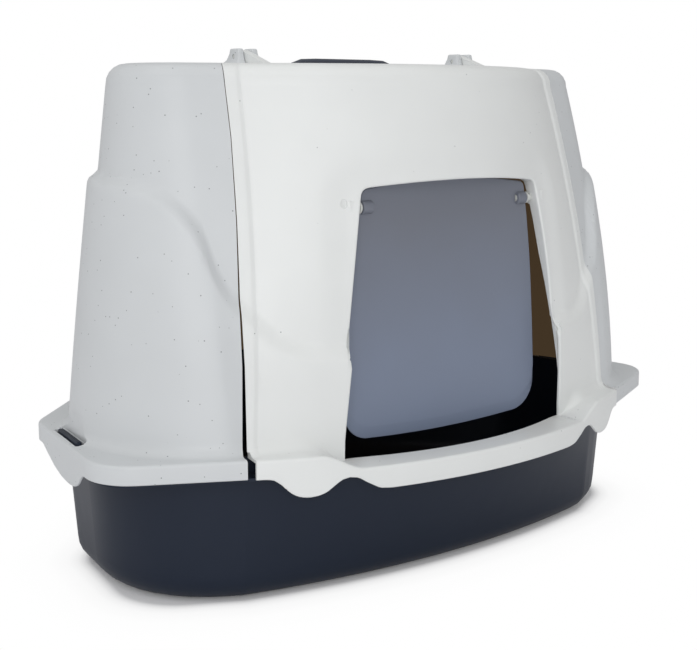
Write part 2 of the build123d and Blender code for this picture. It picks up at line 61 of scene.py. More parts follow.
# Top edge of the raised lower band: distance sideways round the hood, and height.
BAND_LINE = [
    (110, 194), (131, 195), (143, 196), (154, 199), (161, 202.5), (166.5, 206.5), (171, 212), (176, 218),
    (181, 224), (185.5, 229), (189, 232.5), (194.5, 239), (198, 246), (201, 254), (203.4, 263), (205.2, 272),
    (207.2, 281), (210, 289.5), (214, 297), (219, 304.5), (225, 311), (231, 316), (238, 320), (246, 323.5),
    (258, 325.5), (275, 326), (900, 326),
]
# Lower edge of the visor's rim: distance from the middle, and height.
VISOR_HEM = [
    (0, 92), (98, 92), (107, 93), (117, 98.5), (124, 103), (131, 104), (137, 102.5), (143, 98), (148, 94),
    (154, 91.8), (161, 91), (167, 91.8), (172, 94), (176.5, 98), (181, 103), (186, 106.5), (191, 107),
    (400, 107),
]
# Lower edge of the hood's rim at its ends: place from front to back, and height.
HOOD_HEM = [
    (-400, 107), (-92, 107), (-86, 103), (-78, 95.5), (-68, 92), (-55, 91), (-38, 92), (-20, 95.5),
    (-2, 101.5), (12, 107), (400, 107),
]
# Outer edge of the door from its lower corner up.
DOOR_EDGE = [
    (104.2, 155), (103.4, 168), (102, 190), (100.3, 212), (98.4, 235), (96.2, 256), (94, 272), (92, 287),
    (89.6, 301), (88, 311), (87, 314), (84, 316.2),
]
# Plan radii of the hood wall's side corner, at the rim and at the shoulder, and of its rear corner.
SIDE_RADII = (110, 55)
REAR_RADIUS = 34
# Distance round the hood at which the band starts to take its side shape.
BAND_TURN = 172
# Distance round the hood and height at which the tuck beside the visor's edge has faded away.
TUCK_REACH = 207
TUCK_TOP = 285
# Corner radius of the shallow recess round the door's opening, and the heights of its head and foot.
RECESS_CORNER = 26
RECESS_TOP = 331
RECESS_FOOT = 186
# Half depth of the handle's pocket.
POCKET_REACH = 34
# Middle of a latch from front to back, its distance inside the rim's end, and that end's turn in the plan.
LATCH_Y = -34
LATCH_INSET = 9.4
LATCH_TURN = math.radians(8.1)
# Lamps: name, place, aim and size in metres, and power in watts.
LAMPS = (
    ("Overhead", (-0.3, -0.3, 2.3), (0, 0, 0.2), (2.4, 2.4), 11),
    ("Front left", (-1.6, -2.3, 0.9), (0, -0.1, 0.25), (1.4, 1.6), 19.5),
)
WORLD_STRENGTH = 0.56
# The camera solved from the photograph: place in metres, angles in degrees, focal length in millimetres.
CAMERA_PLACE = (-0.7012, -0.9572, 0.3843)
CAMERA_ANGLES = (80.128, 0, -37.21)
CAMERA_LENS = 66.92


def linear(code):
    """An sRGB hex colour as linear values."""
    parts = [int(code[i:i + 2], 16) / 255 for i in (1, 3, 5)]
    return tuple(c / 12.92 if c <= 0.04045 else ((c + 0.055) / 1.055) ** 2.4 for c in parts) + (1.0,)


def length(size, description):
    """A length property from a size in millimetres."""
    return bpy.props.FloatProperty(default=size * MM, unit="LENGTH", precision=4, description=description)


def tally(number, description):
    return bpy.props.IntProperty(default=number, min=1, description=description)


def colour(code, description):
    return bpy.props.FloatVectorProperty(
        default=linear(code), size=4, subtype="COLOR", min=0, max=1, description=description,
    )


class HoodSizes(bpy.types.PropertyGroup):
    top: length(412, "Height of the flat top")
    edge: length(16, "Rounding between the walls and the top")
    rim: length(122, "Height of the rim's upper face")
    wall: length(2.5, "Wall thickness of the hood and visor")
    foot: length(9, "Hollow rounding between the walls and the rim")
    lip: length(2.5, "Rounding of the rim's outer edge")
    bow: length(16, "How far the front wall bulges at mid height")
    crease: length(1.2, "How far the facets stand proud of the front along the creases")
    band: length(7.5, "How far the raised lower band stands out at the sides")
    band_front: length(5, "How far the raised lower band stands out on the visor")
    band_edge: length(7.5, "Width of the slope along the band's edge")
    band_edge_front: length(13, "Width of that slope on the visor")
    tuck: length(2, "How far the hood falls back beside the visor's edge")
    seam_foot: length(3.6, "Gap between hood and visor at the rim")
    rim_gap: length(6, "Gap between the rims of hood and visor")
    seam_head: length(0.55, "Gap between hood and visor at the top")


class VisorSizes(bpy.types.PropertyGroup):
    sill: length(110, "Height of the sill under the door")
    opening_low: length(118, "Half width of the opening at its foot")
    opening_high: length(92, "Half width of the opening at its head")
    opening_top: length(317, "Height of the opening's top corners")
    opening_rise: length(5, "Rise of the opening's top edge at its middle")
    opening_corner: length(6.5, "Radius of the opening's top corners")
    mouth: length(2, "Rounding of the opening's edge")
    opening_swell: length(4, "How far the opening's sides bulge at mid height")
    recess: length(2.8, "Depth of the shallow recess round the opening")
    recess_edge: length(25, "Width of the slope round the recess")
    reveal: length(-160.5, "Place of the back edge of the ring behind the opening")
    reveal_foot: length(225, "Height at which that ring has tapered away")
    mark: length(3, "Radius of the dimple beside the opening")


class TraySizes(bpy.types.PropertyGroup):
    top: length(119.5, "Height of the upstanding edge")
    lip: length(107, "Height of the flat lip")
    wall: length(3, "Wall thickness of the tray")
    inset: length(20.5, "How far the bowl stands inside the rim")
    draft: length(7, "How much the bowl narrows towards the floor")
    rake: length(24, "Extra slope of the front wall")
    corner: length(22, "Rounding between the walls and the floor")


class DoorSizes(bpy.types.PropertyGroup):
    axis_y: length(-164.5, "Place of the door's axis from front to back")
    axis_z: length(302, "Height of the door's axis")
    thickness: length(2.2, "Thickness of the flap")
    bevel: length(9, "Width of the bevelled band along the foot")
    pin: length(3, "Radius of the door's pins")


class TopSizes(bpy.types.PropertyGroup):
    hinge_x: length(118, "Distance of the visor's hinges from the middle")
    hinge_y: length(-48, "Place of the visor's hinge axis from front to back")
    hinge_z: length(418.5, "Height of the visor's hinge axis")
    handle_half: length(80, "Half width of the carry handle")
    handle_y: length(20, "Place of the handle's axis from front to back")
    handle_z: length(404.5, "Height of the handle's axis")
    pocket: length(397, "Height of the floor of the handle's pocket")
    vent_y: length(98, "Place of the vent's middle from front to back")
    vent_pitch: length(9, "Distance between the vent's slots")
    vent_slots: tally(7, "Number of slots in the vent")
    tongue_ribs: tally(3, "Number of ribs on a tongue")


class Finishes(bpy.types.PropertyGroup):
    hood: colour("#CDD0D2", "Recycled grey polypropylene of the hood")
    visor: colour("#E3E5E4", "Paler polypropylene of the visor")
    # The inside colour is painted shade: a dim brownish tone for the shaded inner walls of the hood and
    # visor, not a colour of the plastic.
    inside: colour("#6A5740", "Taupe inner skin of the hood")
    speck: colour("#62666A", "Dark specks in the hood and visor")
    tray: colour("#1E2635", "Blue-grey polypropylene of the tray")
    # The door is one colour; its darker head colour below is painted shade, blended in towards the door's
    # head.
    door_low: colour("#8490A8", "Frosted door near its foot")
    door_head_painted_shade: colour("#767A85", "Frosted door near its head")
    handle: colour("#3A3F4C", "Fine-grained plastic of the handle and filter frame")
    pin: colour("#D8DAD6", "Natural acetal of the pins")
    carbon: colour("#141414", "Carbon-filled foam of the filter")
    floor: colour("#FAFAFC", "Plain pale floor")


GROUPS = {
    "hood": HoodSizes, "visor": VisorSizes, "tray": TraySizes, "door": DoorSizes, "top": TopSizes,
    "finish": Finishes,
}


def in_mm(name):
    """The sizes of one group in millimetres, and its counts as they are."""
    group = getattr(bpy.context.scene, "litter_box_" + name)
    values = {key: getattr(group, key) for key in GROUPS[name].__annotations__}
    return SimpleNamespace(**{k: v / MM if isinstance(v, float) else v for k, v in values.items()})


def finish_colour(key):
    return tuple(getattr(bpy.context.scene.litter_box_finish, key))


# Plans and profiles


def mix(low, high, t):
    return low + (high - low) * t


def smooth(t):
    t = min(1.0, max(0.0, t))
    return t * t * (3 - 2 * t)


def on_line(line, x):
    """Height at x of straight lines through points."""
    for (x0, z0), (x1, z1) in zip(line, line[1:]):
        if x <= x1:
            return mix(z0, z1, min(1.0, max(0.0, (x - x0) / (x1 - x0))))
    return line[-1][1]


def mirrored(points):
    """Level points on the other side of the middle plane, in reversed order."""
    return [(-x, y) for x, y in reversed(points)]


def inset(half, amount):
    """Moves each side of a symmetric outline inwards; the first point is the front middle."""
    corners = [Vector(p) for p in half + mirrored(half[1:])]
    moved = []
    for i in range(len(half)):
        first = (corners[i] - corners[i - 1]).normalized()
        second = (corners[(i + 1) % len(corners)] - corners[i]).normalized()
        turn = first.x * second.y - first.y * second.x
        slide = amount * (1 - first.dot(second)) / turn if abs(turn) > 1e-6 else 0
        corner = corners[i] + Vector((-first.y, first.x)) * amount - first * slide
        moved.append((corner.x, corner.y))
    return moved


def plan_ring(half, radii, bow, runs, arcs):
    """Closed level outline, counterclockwise from the front middle: a bowed front, then straight runs
    with rounded corners, then the mirrored half."""
    (_, front_y), (first_x, first_y) = half[0], half[1]
    sag = max(first_y - front_y, 1e-3)
    radius = (first_x ** 2 + sag ** 2) / (2 * sag)
    end = math.asin(first_x / radius)
    right = []
    for i in range(bow):
        angle = end * i / bow
        right.append(Vector((radius * math.sin(angle), front_y + radius - radius * math.cos(angle))))
    path = [Vector(p) for p in half[1:]] + [Vector((0, half[-1][1]))]
    start = path[0]
    for i in range(1, len(path) - 1):
        back = (path[i - 1] - path[i]).normalized()
        onward = (path[i + 1] - path[i]).normalized()
        opening = math.acos(max(-1, min(1, back.dot(onward))))
        reach = radii[i - 1] / math.tan(opening / 2)
        one = path[i] + back * reach
        two = path[i] + onward * reach
        centre = path[i] + (back + onward).normalized() * (radii[i - 1] / math.sin(opening / 2))
        crowd = 1.5 if i == 1 else 1
        right += [start.lerp(one, (k / runs[i - 1]) ** crowd) for k in range(runs[i - 1])]
        sweep = math.pi - opening
        for k in range(arcs[i - 1]):
            s = k / arcs[i - 1]
            spoke = (one - centre) * math.sin((1 - s) * sweep) + (two - centre) * math.sin(s * sweep)
            right.append(centre + spoke / math.sin(sweep))
        start = two
    right += [start.lerp(path[-1], k / runs[-1]) for k in range(runs[-1] + 1)]
    return right + [Vector(p) for p in mirrored(right[1:-1])]


def outward(ring):
    """Unit vectors that point out of a counterclockwise ring."""
    count = len(ring)
    run = [(ring[(i + 1) % count] - ring[i - 1]).normalized() for i in range(count)]
    return [Vector((r.y, -r.x)) for r in run]


def ray_ring(outline, centre, ring):
    """Where the rays from centre through each point of ring meet a closed outline."""
    met = []
    for point in ring:
        way = (point - centre).normalized()
        best = None
        for a, b in zip(outline, outline[1:] + outline[:1]):
            side = b - a
            bottom = way.x * side.y - way.y * side.x
            if abs(bottom) < 1e-9:
                continue
            gap = a - centre
            along = (gap.x * side.y - gap.y * side.x) / bottom
            share = (gap.x * way.y - gap.y * way.x) / bottom
            if along > 0 and -1e-6 <= share <= 1 + 1e-6 and (best is None or along > best):
                best = along
        met.append(centre + way * best)
    return met


def wall_share(z, hood):
    """Height as a share of the wall between the rim and the shoulder."""
    return max(0.0, (z - hood.rim) / (hood.top - hood.edge - hood.rim))


def hood_corners(z, hood):
    """Corners of the hood wall's plan at one height: front, crease, side corner and rear corner."""
    t = wall_share(z, hood)
    arch = 4 * t * (1 - t)
    return [
        (0, mix(-192, -173, t) - hood.bow * arch),
        (mix(184, 162, t), mix(-161.2, -112.5, t) - 9.6 * arch),
        (mix(347, 278, t), mix(-90, -68, t) - 3.5 * arch),
        (mix(64.5, 45.7, t) + 1.5 * arch, mix(195, 165, t)),
    ]


def band_share(reach, z, edge):
    """1 on the raised band, 0 above it, with a smooth slope across its top edge."""
    nearest = 1e9
    for (x0, z0), (x1, z1) in zip(BAND_LINE, BAND_LINE[1:]):
        side = Vector((x1 - x0, z1 - z0))
        gap = Vector((reach - x0, z - z0))
        share = max(0.0, min(1.0, gap.dot(side) / side.length_squared))
        nearest = min(nearest, (gap - side * share).length)
    if z > on_line(BAND_LINE, reach):
        nearest = -nearest
    return smooth(0.5 + nearest / edge)


def recess_share(x, z, visor):
    """1 beside and above the opening, 0 further away."""
    side = abs(x) - mix(124, 114.5, (z - 190) / 135) + RECESS_CORNER
    above = z - RECESS_TOP - visor.opening_rise * (1 - (x / 118) ** 2) + RECESS_CORNER
    far = Vector((max(side, 0), max(above, 0))).length + min(max(side, above), 0) - RECESS_CORNER
    return smooth(0.5 - far / visor.recess_edge) * smooth((z - RECESS_FOOT) / 12)


def wall_ring(z, amount, counts, hood, visor=None):
    """The hood wall at one height, with the raised band, and with the visor's recess where a visor is given
    or the tuck beside the visor's edge where none is."""
    radii = (mix(*SIDE_RADII, min(1, wall_share(z, hood))) - amount, REAR_RADIUS - amount)
    ring = plan_ring(inset(hood_corners(z, hood), amount), radii, *counts)
    normals = outward(ring)
    crease = ring[counts[0]]
    half = len(ring) // 2 + 1
    reach = [0.0]
    for i in range(1, half):
        step = ring[i] - ring[i - 1]
        reach.append(reach[-1] + (step.x if step.x > 0 else step.length))
    moved = []
    for i, (point, normal) in enumerate(zip(ring, normals)):
        far = reach[i] if i < half else reach[len(ring) - i]
        side = smooth((far - BAND_TURN) / 36)
        edge = mix(hood.band_edge_front, hood.band_edge, side)
        lift = mix(hood.band_front, hood.band, side) * band_share(far, z, edge)
        lift += hood.crease * smooth((far - crease.x) / 4)
        if not visor:
            lift -= hood.tuck * smooth((TUCK_REACH - far) / 16) * smooth((TUCK_TOP - z) / 90)
        elif point.y < 0:
            lift -= visor.recess * recess_share(point.x, z, visor) * (1 - band_share(far, z, hood.band_edge))
        moved.append(point + normal * lift)
    return moved


# Meshes


def new_object(name, points, faces, materials=(), slots=None):
    """An object from points in millimetres."""
    mesh = bpy.data.meshes.new(name)
    mesh.from_pydata([Vector(p) * MM for p in points], [], faces)
    for material in materials:
        mesh.materials.append(material)
    if slots:
        mesh.polygons.foreach_set("material_index", slots)
    obj = bpy.data.objects.new(name, mesh)
    bpy.context.scene.collection.objects.link(obj)
    return obj


def ring_faces(rings):
    """Four-sided faces between rings of points that follow each other."""
    count = len(rings[0])
    faces = []
    for start in range(0, (len(rings) - 1) * count, count):
        for i in range(count):
            j = (i + 1) % count
            faces.append((start + i, start + count + i, start + count + j, start + j))
    return faces


def loft(name, rings, materials=(), inner_from=None):
    """A closed solid through rings of equal counts, counterclockwise seen from the first ring's side.
    Faces from ring inner_from onwards take the second material."""
    count, last = len(rings[0]), len(rings) - 1
    inner_from = len(rings) if inner_from is None else inner_from
    caps = [tuple(range(count)), tuple(reversed(range(last * count, len(rings) * count)))]
    slots = [int(k >= inner_from) for k in range(last) for _ in range(count)] + [0, int(last >= inner_from)]
    return new_object(name, [p for ring in rings for p in ring], ring_faces(rings) + caps, materials, slots)


def prism(name, outline, axis, low, high, materials=()):
    """A straight solid from a flat outline, along x or z."""
    rings = [[(d, *p) if axis == "x" else (*p, d) for p in outline] for d in (high, low)]
    return face_out(loft(name, rings, materials))


def face_out(obj):
    """Turns every face of a closed mesh outwards."""
    shape = bmesh.new()
    shape.from_mesh(obj.data)
    bmesh.ops.remove_doubles(shape, verts=shape.verts, dist=1e-7)
    bmesh.ops.recalc_face_normals(shape, faces=shape.faces)
    shape.to_mesh(obj.data)
    shape.free()
    return obj


def arc(centre, radius, degrees, stretch=1.0):
    """Points at some angles of a circle, which can be stretched in its second direction."""
    turns = [math.radians(a) for a in degrees]
    return [(centre[0] + radius * math.cos(t), centre[1] + stretch * radius * math.sin(t)) for t in turns]


def circle(radius, centre=(0, 0)):
    return arc(centre, radius, [360 * i / CIRCLE_POINTS for i in range(CIRCLE_POINTS)])


def rounded_rectangle(half_x, low_y, high_y, radius, steps=6):
    outline = []
    corners = [(half_x, low_y), (half_x, high_y), (-half_x, high_y), (-half_x, low_y)]
    for turn, (x, y) in enumerate(corners):
        centre = (x - math.copysign(radius, x), y + radius if y == low_y else y - radius)
        outline += arc(centre, radius, [90 * turn - 90 + 90 * k / steps for k in range(steps + 1)])
    return outline


def apply_modifiers(obj):
    """Turns the evaluated shape into the object's own plain mesh."""
    bpy.context.view_layer.update()
    evaluated = obj.evaluated_get(bpy.context.evaluated_depsgraph_get())
    mesh = bpy.data.meshes.new_from_object(evaluated)
    obj.modifiers.clear()
    obj.data = mesh
    return obj


def rounded(obj, width):
    """Rounds the edges of a small solid."""
    bevel = obj.modifiers.new("Rounding", "BEVEL")
    bevel.width = width * MM
    bevel.segments = 3
    bevel.limit_method = "ANGLE"
    bevel.angle_limit = SHARP_ANGLE
    bevel.use_clamp_overlap = True
    return apply_modifiers(obj)


def combine(obj, operation, other):
    """Adds, cuts away or keeps the space of another solid, which is used up."""
    tool = obj.modifiers.new(operation, "BOOLEAN")
    tool.operation = operation
    tool.solver = "MANIFOLD"
    tool.object = other
    apply_modifiers(obj)
    if len(obj.data.polygons) == 0:
        raise RuntimeError(operation + " of " + other.name + " left nothing of " + obj.name)
    bpy.data.objects.remove(other)
    return obj


def side_prism(obj, operation, hand, name, outline, near, far):
    """Adds or cuts a prism along x on one side, between two distances from the middle."""
    combine(obj, operation, prism(name, outline, "x", *sorted((hand * near, hand * far))))


def shade(obj):
    """Smooth shading, with sharp edges where faces meet at a wide angle."""
    shape = bmesh.new()
    shape.from_mesh(obj.data)
    bmesh.ops.dissolve_degenerate(shape, edges=shape.edges, dist=1e-6)
    for face in shape.faces:
        face.smooth = True
    for edge in shape.edges:
        edge.smooth = len(edge.link_faces) == 2 and edge.calc_face_angle(0) < SMOOTH_ANGLE
    shape.to_mesh(obj.data)
    shape.free()


def settle(obj, body, slot, *nodes):
    """Gives a finished piece its body and its smooth shading, and hides the CAD nodes that it stands for;
    slot is not used.
    """
    shade(obj)
    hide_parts(*nodes)
    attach(obj, body)


# Materials


def add_node(tree, kind, inputs=None, **settings):
    """Adds a node with its settings, and its inputs as values or as links."""
    node = tree.nodes.new(kind)
    for key, value in settings.items():
        setattr(node, key, value)
    for key, value in (inputs or {}).items():
        if isinstance(value, bpy.types.NodeSocket):
            tree.links.new(value, node.inputs[key])
        else:
            node.inputs[key].default_value = value
    return node


def new_material(name):
    """A new material, its node tree and a socket with the object's own coordinates."""
    material = bpy.data.materials.new(name)
    material.use_nodes = True
    tree = material.node_tree
    tree.nodes.clear()
    return material, tree, add_node(tree, "ShaderNodeTexCoord").outputs["Object"]


def noise(tree, place, size, detail):
    """Soft noise whose features have a size in millimetres."""
    inputs = {"Vector": place, "Scale": 1 / (size * MM), "Detail": detail}
    return add_node(tree, "ShaderNodeTexNoise", inputs).outputs["Fac"]


def mapped(tree, value, low, high, span=(0.0, 1.0)):
    """A value that runs over a span, mapped to run from low to high."""
    inputs = {"Value": value, "From Min": span[0], "From Max": span[1], "To Min": low, "To Max": high}
    return add_node(tree, "ShaderNodeMapRange", inputs).outputs[0]


def maths(tree, operation, *values):
    return add_node(tree, "ShaderNodeMath", dict(enumerate(values)), operation=operation).outputs[0]


def blended(tree, share, low, high):
    """A colour between two others."""
    return add_node(tree, "ShaderNodeMix", {0: share, 6: low, 7: high}, data_type="RGBA").outputs[2]


def bumped(tree, height, strength, depth, normal=None):
    """A normal bent by heights; the depth is in millimetres."""
    inputs = {"Height": height, "Strength": strength, "Distance": depth * MM}
    if normal:
        inputs["Normal"] = normal
    return add_node(tree, "ShaderNodeBump", inputs).outputs[0]


def output(tree, shader):
    add_node(tree, "ShaderNodeOutputMaterial", {"Surface": shader.outputs[0]})


def surfaced(material, inputs):
    """The material with a principled shader for its surface."""
    output(material.node_tree, add_node(material.node_tree, "ShaderNodeBsdfPrincipled", inputs))
    return material


def moulded_polypropylene(name, base, speck_spacing, speck_radius, roughness, gloss=0.5, through=0.0):
    """Injection-moulded polypropylene: satin, very slightly wavy, with scattered dark specks where the resin
    is recycled. Spacing and radius are in millimetres; gloss is how strongly it mirrors; through is a painted
    glow, an emission of the surface's own colour that stands in for the daylight a thin wall lets in from
    behind."""
    material, tree, place = new_material(name)
    clouds = noise(tree, place, 70, 2.0)
    scale = {0: base[:3], "Scale": mapped(tree, clouds, 0.96, 1.04)}
    tinted = add_node(tree, "ShaderNodeVectorMath", scale, operation="SCALE").outputs["Vector"]
    if speck_spacing:
        grid = {"Vector": place, "Scale": 1 / (speck_spacing * MM), "Randomness": 1.0}
        cells = add_node(tree, "ShaderNodeTexVoronoi", grid).outputs["Distance"]
        size = speck_radius / speck_spacing
        speck = mapped(tree, cells, 0.85, 0.0, (0.6 * size, size))
        tinted = blended(tree, speck, tinted, finish_colour("speck"))
    waves = bumped(tree, noise(tree, place, 24, 1.0), 0.25, 0.6)
    return surfaced(material, {
        "Base Color": tinted, "IOR": 1.49, "Specular IOR Level": gloss,
        "Roughness": mapped(tree, clouds, roughness - 0.05, roughness + 0.05),
        "Normal": bumped(tree, noise(tree, place, 1.1, 3.0), 0.2, 0.05, waves),
        # The emission is a painted glow of the surface's own colour, standing in for light let in through the
        # wall.
        "Emission Color": tinted, "Emission Strength": through,
    })


def frosted_polypropylene(name, low, high, foot, head):
    """Frosted translucent polypropylene: a soft glow and no clear view through, with painted shade that
    darkens it towards its head.
    """
    material, tree, place = new_material(name)
    height = add_node(tree, "ShaderNodeSeparateXYZ", {0: place}).outputs["Z"]
    wobble = maths(tree, "MULTIPLY_ADD", noise(tree, place, 45, 1.5), 30 * MM, height)
    # The blend by height from the foot colour to the head colour is painted shade, darker towards the head.
    rise = mapped(tree, wobble, 0.0, 1.0, (foot * MM, head * MM))
    return surfaced(material, {
        "Base Color": blended(tree, rise, low, high), "Roughness": 0.42, "IOR": 1.49,
        "Transmission Weight": 0.08, "Normal": bumped(tree, noise(tree, place, 0.9, 3.0), 0.25, 0.04),
    })


def grained_plastic(name, base, grain_size, roughness, depth=0.08):
    """Moulded plastic from a spark-eroded tool: dull, with a fine even grain."""
    material, tree, place = new_material(name)
    grain = noise(tree, place, grain_size, 4.0)
    dark = tuple(c * 0.8 for c in base[:3]) + (1.0,)
    dull = mapped(tree, grain, roughness - 0.08, roughness + 0.08)
    return surfaced(material, {
        "Base Color": blended(tree, grain, dark, base), "Roughness": dull, "IOR": 1.5,
        "Normal": bumped(tree, grain, 0.35, depth),
    })


def carbon_foam(name, base):
    """Open-cell foam filled with carbon: black, dull and full of 1 to 2 mm pores, with painted shade that
    darkens each pore's middle against paler cell walls.
    """
    material, tree, place = new_material(name)
    cells = {"Vector": place, "Scale": 1 / (1.8 * MM)}
    pores = add_node(tree, "ShaderNodeTexVoronoi", cells).outputs["Distance"]
    # Painted shade: the pores' middles keep the dark colour, and the cell walls between them are drawn paler.
    pale = tuple(min(1.0, c * 2.2 + 0.004) for c in base[:3]) + (1.0,)
    return surfaced(material, {
        "Base Color": blended(tree, pores, base, pale), "Roughness": 0.95,
        "Normal": bumped(tree, pores, 0.8, 0.6),
    })


# Finishes with one colour: name, maker and the maker's values after the colour.
FINISH_MATERIALS = {
    "hood": ("grey_speckled_polypropylene", moulded_polypropylene, 7.2, 0.6, 0.4),
    "visor": ("pale_polypropylene", moulded_polypropylene, 13.5, 0.55, 0.38),
    # The inner wall: painted shade for its colour, and its last value, 0.3, a painted glow.
    "inside": ("taupe_inner_polypropylene", moulded_polypropylene, 0, 0, 0.6, 0.5, 0.3),
    "tray": ("blue_grey_polypropylene", moulded_polypropylene, 0, 0, 0.36, 0.25),
    "pin": ("natural_acetal", grained_plastic, 0.7, 0.4, 0.03),
    "handle": ("dark_grained_polypropylene", grained_plastic, 0.8, 0.45),
    "carbon": ("carbon_filled_foam", carbon_foam),
}


def material_of(*finishes):
    """The materials of some finishes, each made when it is first asked for."""
    found = []
    for finish in finishes:
        name, maker, *values = FINISH_MATERIALS[finish]
        found.append(bpy.data.materials.get(name) or maker(name, finish_colour(finish), *values))
    return found


# Repeated pieces


def bars_tree():
    """Geometry nodes for a row of rounded bars: count, step, size, corner radius and material."""
    tree = bpy.data.node_groups.get("Row of bars")
    if tree:
        return tree
    tree = bpy.data.node_groups.new("Row of bars", "GeometryNodeTree")
    sockets = {
        "Count": "Int", "Start": "Vector", "Step": "Vector", "Width": "Float", "Length": "Float",
        "Height": "Float", "Radius": "Float", "Turn": "Float", "Material": "Material",
    }
    for name, kind in sockets.items():
        tree.interface.new_socket(name, in_out="INPUT", socket_type="NodeSocket" + kind)
    tree.interface.new_socket("Geometry", in_out="OUTPUT", socket_type="NodeSocketGeometry")
    given = add_node(tree, "NodeGroupInput").outputs

    def step(kind, inputs, **settings):
        return add_node(tree, kind, inputs, **settings).outputs[0]

    size = {"Width": given["Width"], "Height": given["Length"]}
    plan = step("GeometryNodeCurvePrimitiveQuadrilateral", size)
    fillet = {"Curve": plan, "Count": 6, "Radius": given["Radius"], "Limit Radius": True}
    corners = step("GeometryNodeFilletCurve", fillet, mode="POLY")
    under = step("GeometryNodeFillCurve", {"Curve": corners}, mode="NGONS")
    lift = step("ShaderNodeCombineXYZ", {"Z": given["Height"]})
    raised = step(
        "GeometryNodeExtrudeMesh", {"Mesh": under, "Offset": lift, "Offset Scale": 1.0, "Individual": False},
    )
    whole = add_node(tree, "GeometryNodeJoinGeometry", {0: raised})
    tree.links.new(step("GeometryNodeFlipFaces", {"Mesh": under}), whole.inputs[0])
    closed = step("GeometryNodeMergeByDistance", {"Geometry": whole.outputs[0], "Distance": 1e-6})
    line = {"Count": given["Count"], "Start Location": given["Start"], "Offset": given["Step"]}
    row = step("GeometryNodeMeshLine", line)
    turn = step("ShaderNodeCombineXYZ", {"Z": given["Turn"]})
    placed = step("GeometryNodeInstanceOnPoints", {"Points": row, "Instance": closed, "Rotation": turn})
    real = step("GeometryNodeRealizeInstances", {0: placed})
    coated = step("GeometryNodeSetMaterial", {"Geometry": real, "Material": given["Material"]})
    add_node(tree, "NodeGroupOutput", {0: coated})
    return tree


def bars(name, count, start, step, size, radius, material=None, turn=0.0):
    """A row of rounded bars as a plain mesh, with sizes in millimetres; it starts from the middle of the
    first bar's underside."""
    obj = new_object(name, [(0, 0, 0)], [])
    tool = obj.modifiers.new("Row", "NODES")
    tool.node_group = bars_tree()
    values = {
        "Count": count, "Start": [v * MM for v in start], "Step": [v * MM for v in step],
        "Width": size[0] * MM, "Length": size[1] * MM, "Height": size[2] * MM,
        "Radius": radius * MM, "Turn": turn, "Material": material,
    }
    for item in tool.node_group.interface.items_tree:
        if item.in_out == "INPUT":
            tool[item.identifier] = values[item.name]
    return face_out(apply_modifiers(obj))


# Shells of the hood and the visor


# Points round each shell and the rim: along half the bowed front, along each straight run and in each corner.
HOOD_COUNTS = (24, (50, 50, 8), (56, 10))
VISOR_COUNTS = (72, (34, 6, 2), (6, 3))
RIM_COUNTS = (40, (16, 24, 30, 8), (8, 10, 10))


def wall_table(amount, counts, hood, visor=None):
    """The wall's points by column and height, from rings every 3 mm."""
    low = hood.rim - 24
    rings = []
    while low + 3 * len(rings) < hood.top:
        rings.append(wall_ring(low + 3 * len(rings), amount, counts, hood, visor))

    def point(column, z):
        place = (min(z, hood.top - hood.edge) - low) / 3
        k = int(place)
        return rings[k][column].lerp(rings[k + 1][column], place - k)

    return point


def with_z(ring, z):
    """Level points raised to one height, or to the height that z gives for each."""
    return [(p.x, p.y, z(p) if callable(z) else z) for p in ring]


def shell_mesh(name, counts, row, rim, rim_z, foot, hem, hood, visor, materials):
    """A closed thin shell: top, walls, hollow foot, flat rim, skirt, and the same again inside."""
    outer = wall_table(0, counts, hood, visor)
    inner = wall_table(hood.wall, counts, hood, visor)
    shoulder = hood.top - hood.edge
    base = wall_ring(hood.rim, 0, counts, hood, visor)
    normals = outward(base)
    edge = ray_ring(rim, Vector((0, -20)), base)
    edge_normals = outward(edge)
    columns = range(len(base))

    def top_ring(radius, skin, angle):
        turn = math.radians(angle)
        level = wall_ring(shoulder, skin + radius * (1 - math.cos(turn)), counts, hood, visor)
        return with_z(level, shoulder + radius * math.sin(turn))

    def wall_rows(table, skin, spacing):
        steps = int((shoulder - hood.rim - hood.foot) / spacing)
        rows = []
        for k in range(steps + 1):
            level = []
            for i in columns:
                z = mix(shoulder, rim_z(base[i]) + (foot(base[i]) if skin == 0 else -skin), k / steps)
                p = table(i, z)
                level.append((p.x, p.y, z))
            rows.append(level)
        return rows

    def edge_ring(amount, z):
        return [(p.x - n.x * amount, p.y - n.y * amount, z(p)) for p, n in zip(edge, edge_normals)]

    middle = wall_ring(shoulder, hood.edge + 10, counts, hood, visor)
    rings = [with_z(middle, hood.top)]
    rings += [top_ring(hood.edge, 0, angle) for angle in (90, 72, 54, 36, 18)]
    rings += wall_rows(outer, 0, row)
    for angle in (22.5, 45, 67.5, 90):
        turn = math.radians(angle)
        level = []
        for i in columns:
            radius = foot(base[i])
            z = rim_z(base[i]) + radius * (1 - math.sin(turn))
            p = outer(i, z) + normals[i] * radius * (1 - math.cos(turn))
            level.append((p.x, p.y, z))
        rings.append(level)
    for angle in (0, 22.5, 45, 67.5, 90):
        turn = math.radians(angle)
        drop = hood.lip * (1 - math.cos(turn))
        rings.append(edge_ring(hood.lip * (1 - math.sin(turn)), lambda p: rim_z(p) - drop))
    for amount, rise in ((0, 0.7), (0.7, 0), (hood.wall - 0.5, 0), (hood.wall, 0.5)):
        rings.append(edge_ring(amount, lambda p: hem(p) + rise))
    rings.append(edge_ring(hood.wall, lambda p: rim_z(p) - hood.wall))
    inner_from = len(rings) - 1
    rings += reversed(wall_rows(inner, hood.wall, 2 * row))
    rings += [top_ring(hood.edge - hood.wall, hood.wall, angle) for angle in (30, 60, 90)]
    rings.append(with_z(middle, hood.top - hood.wall))
    return loft(name, rings, materials, inner_from)


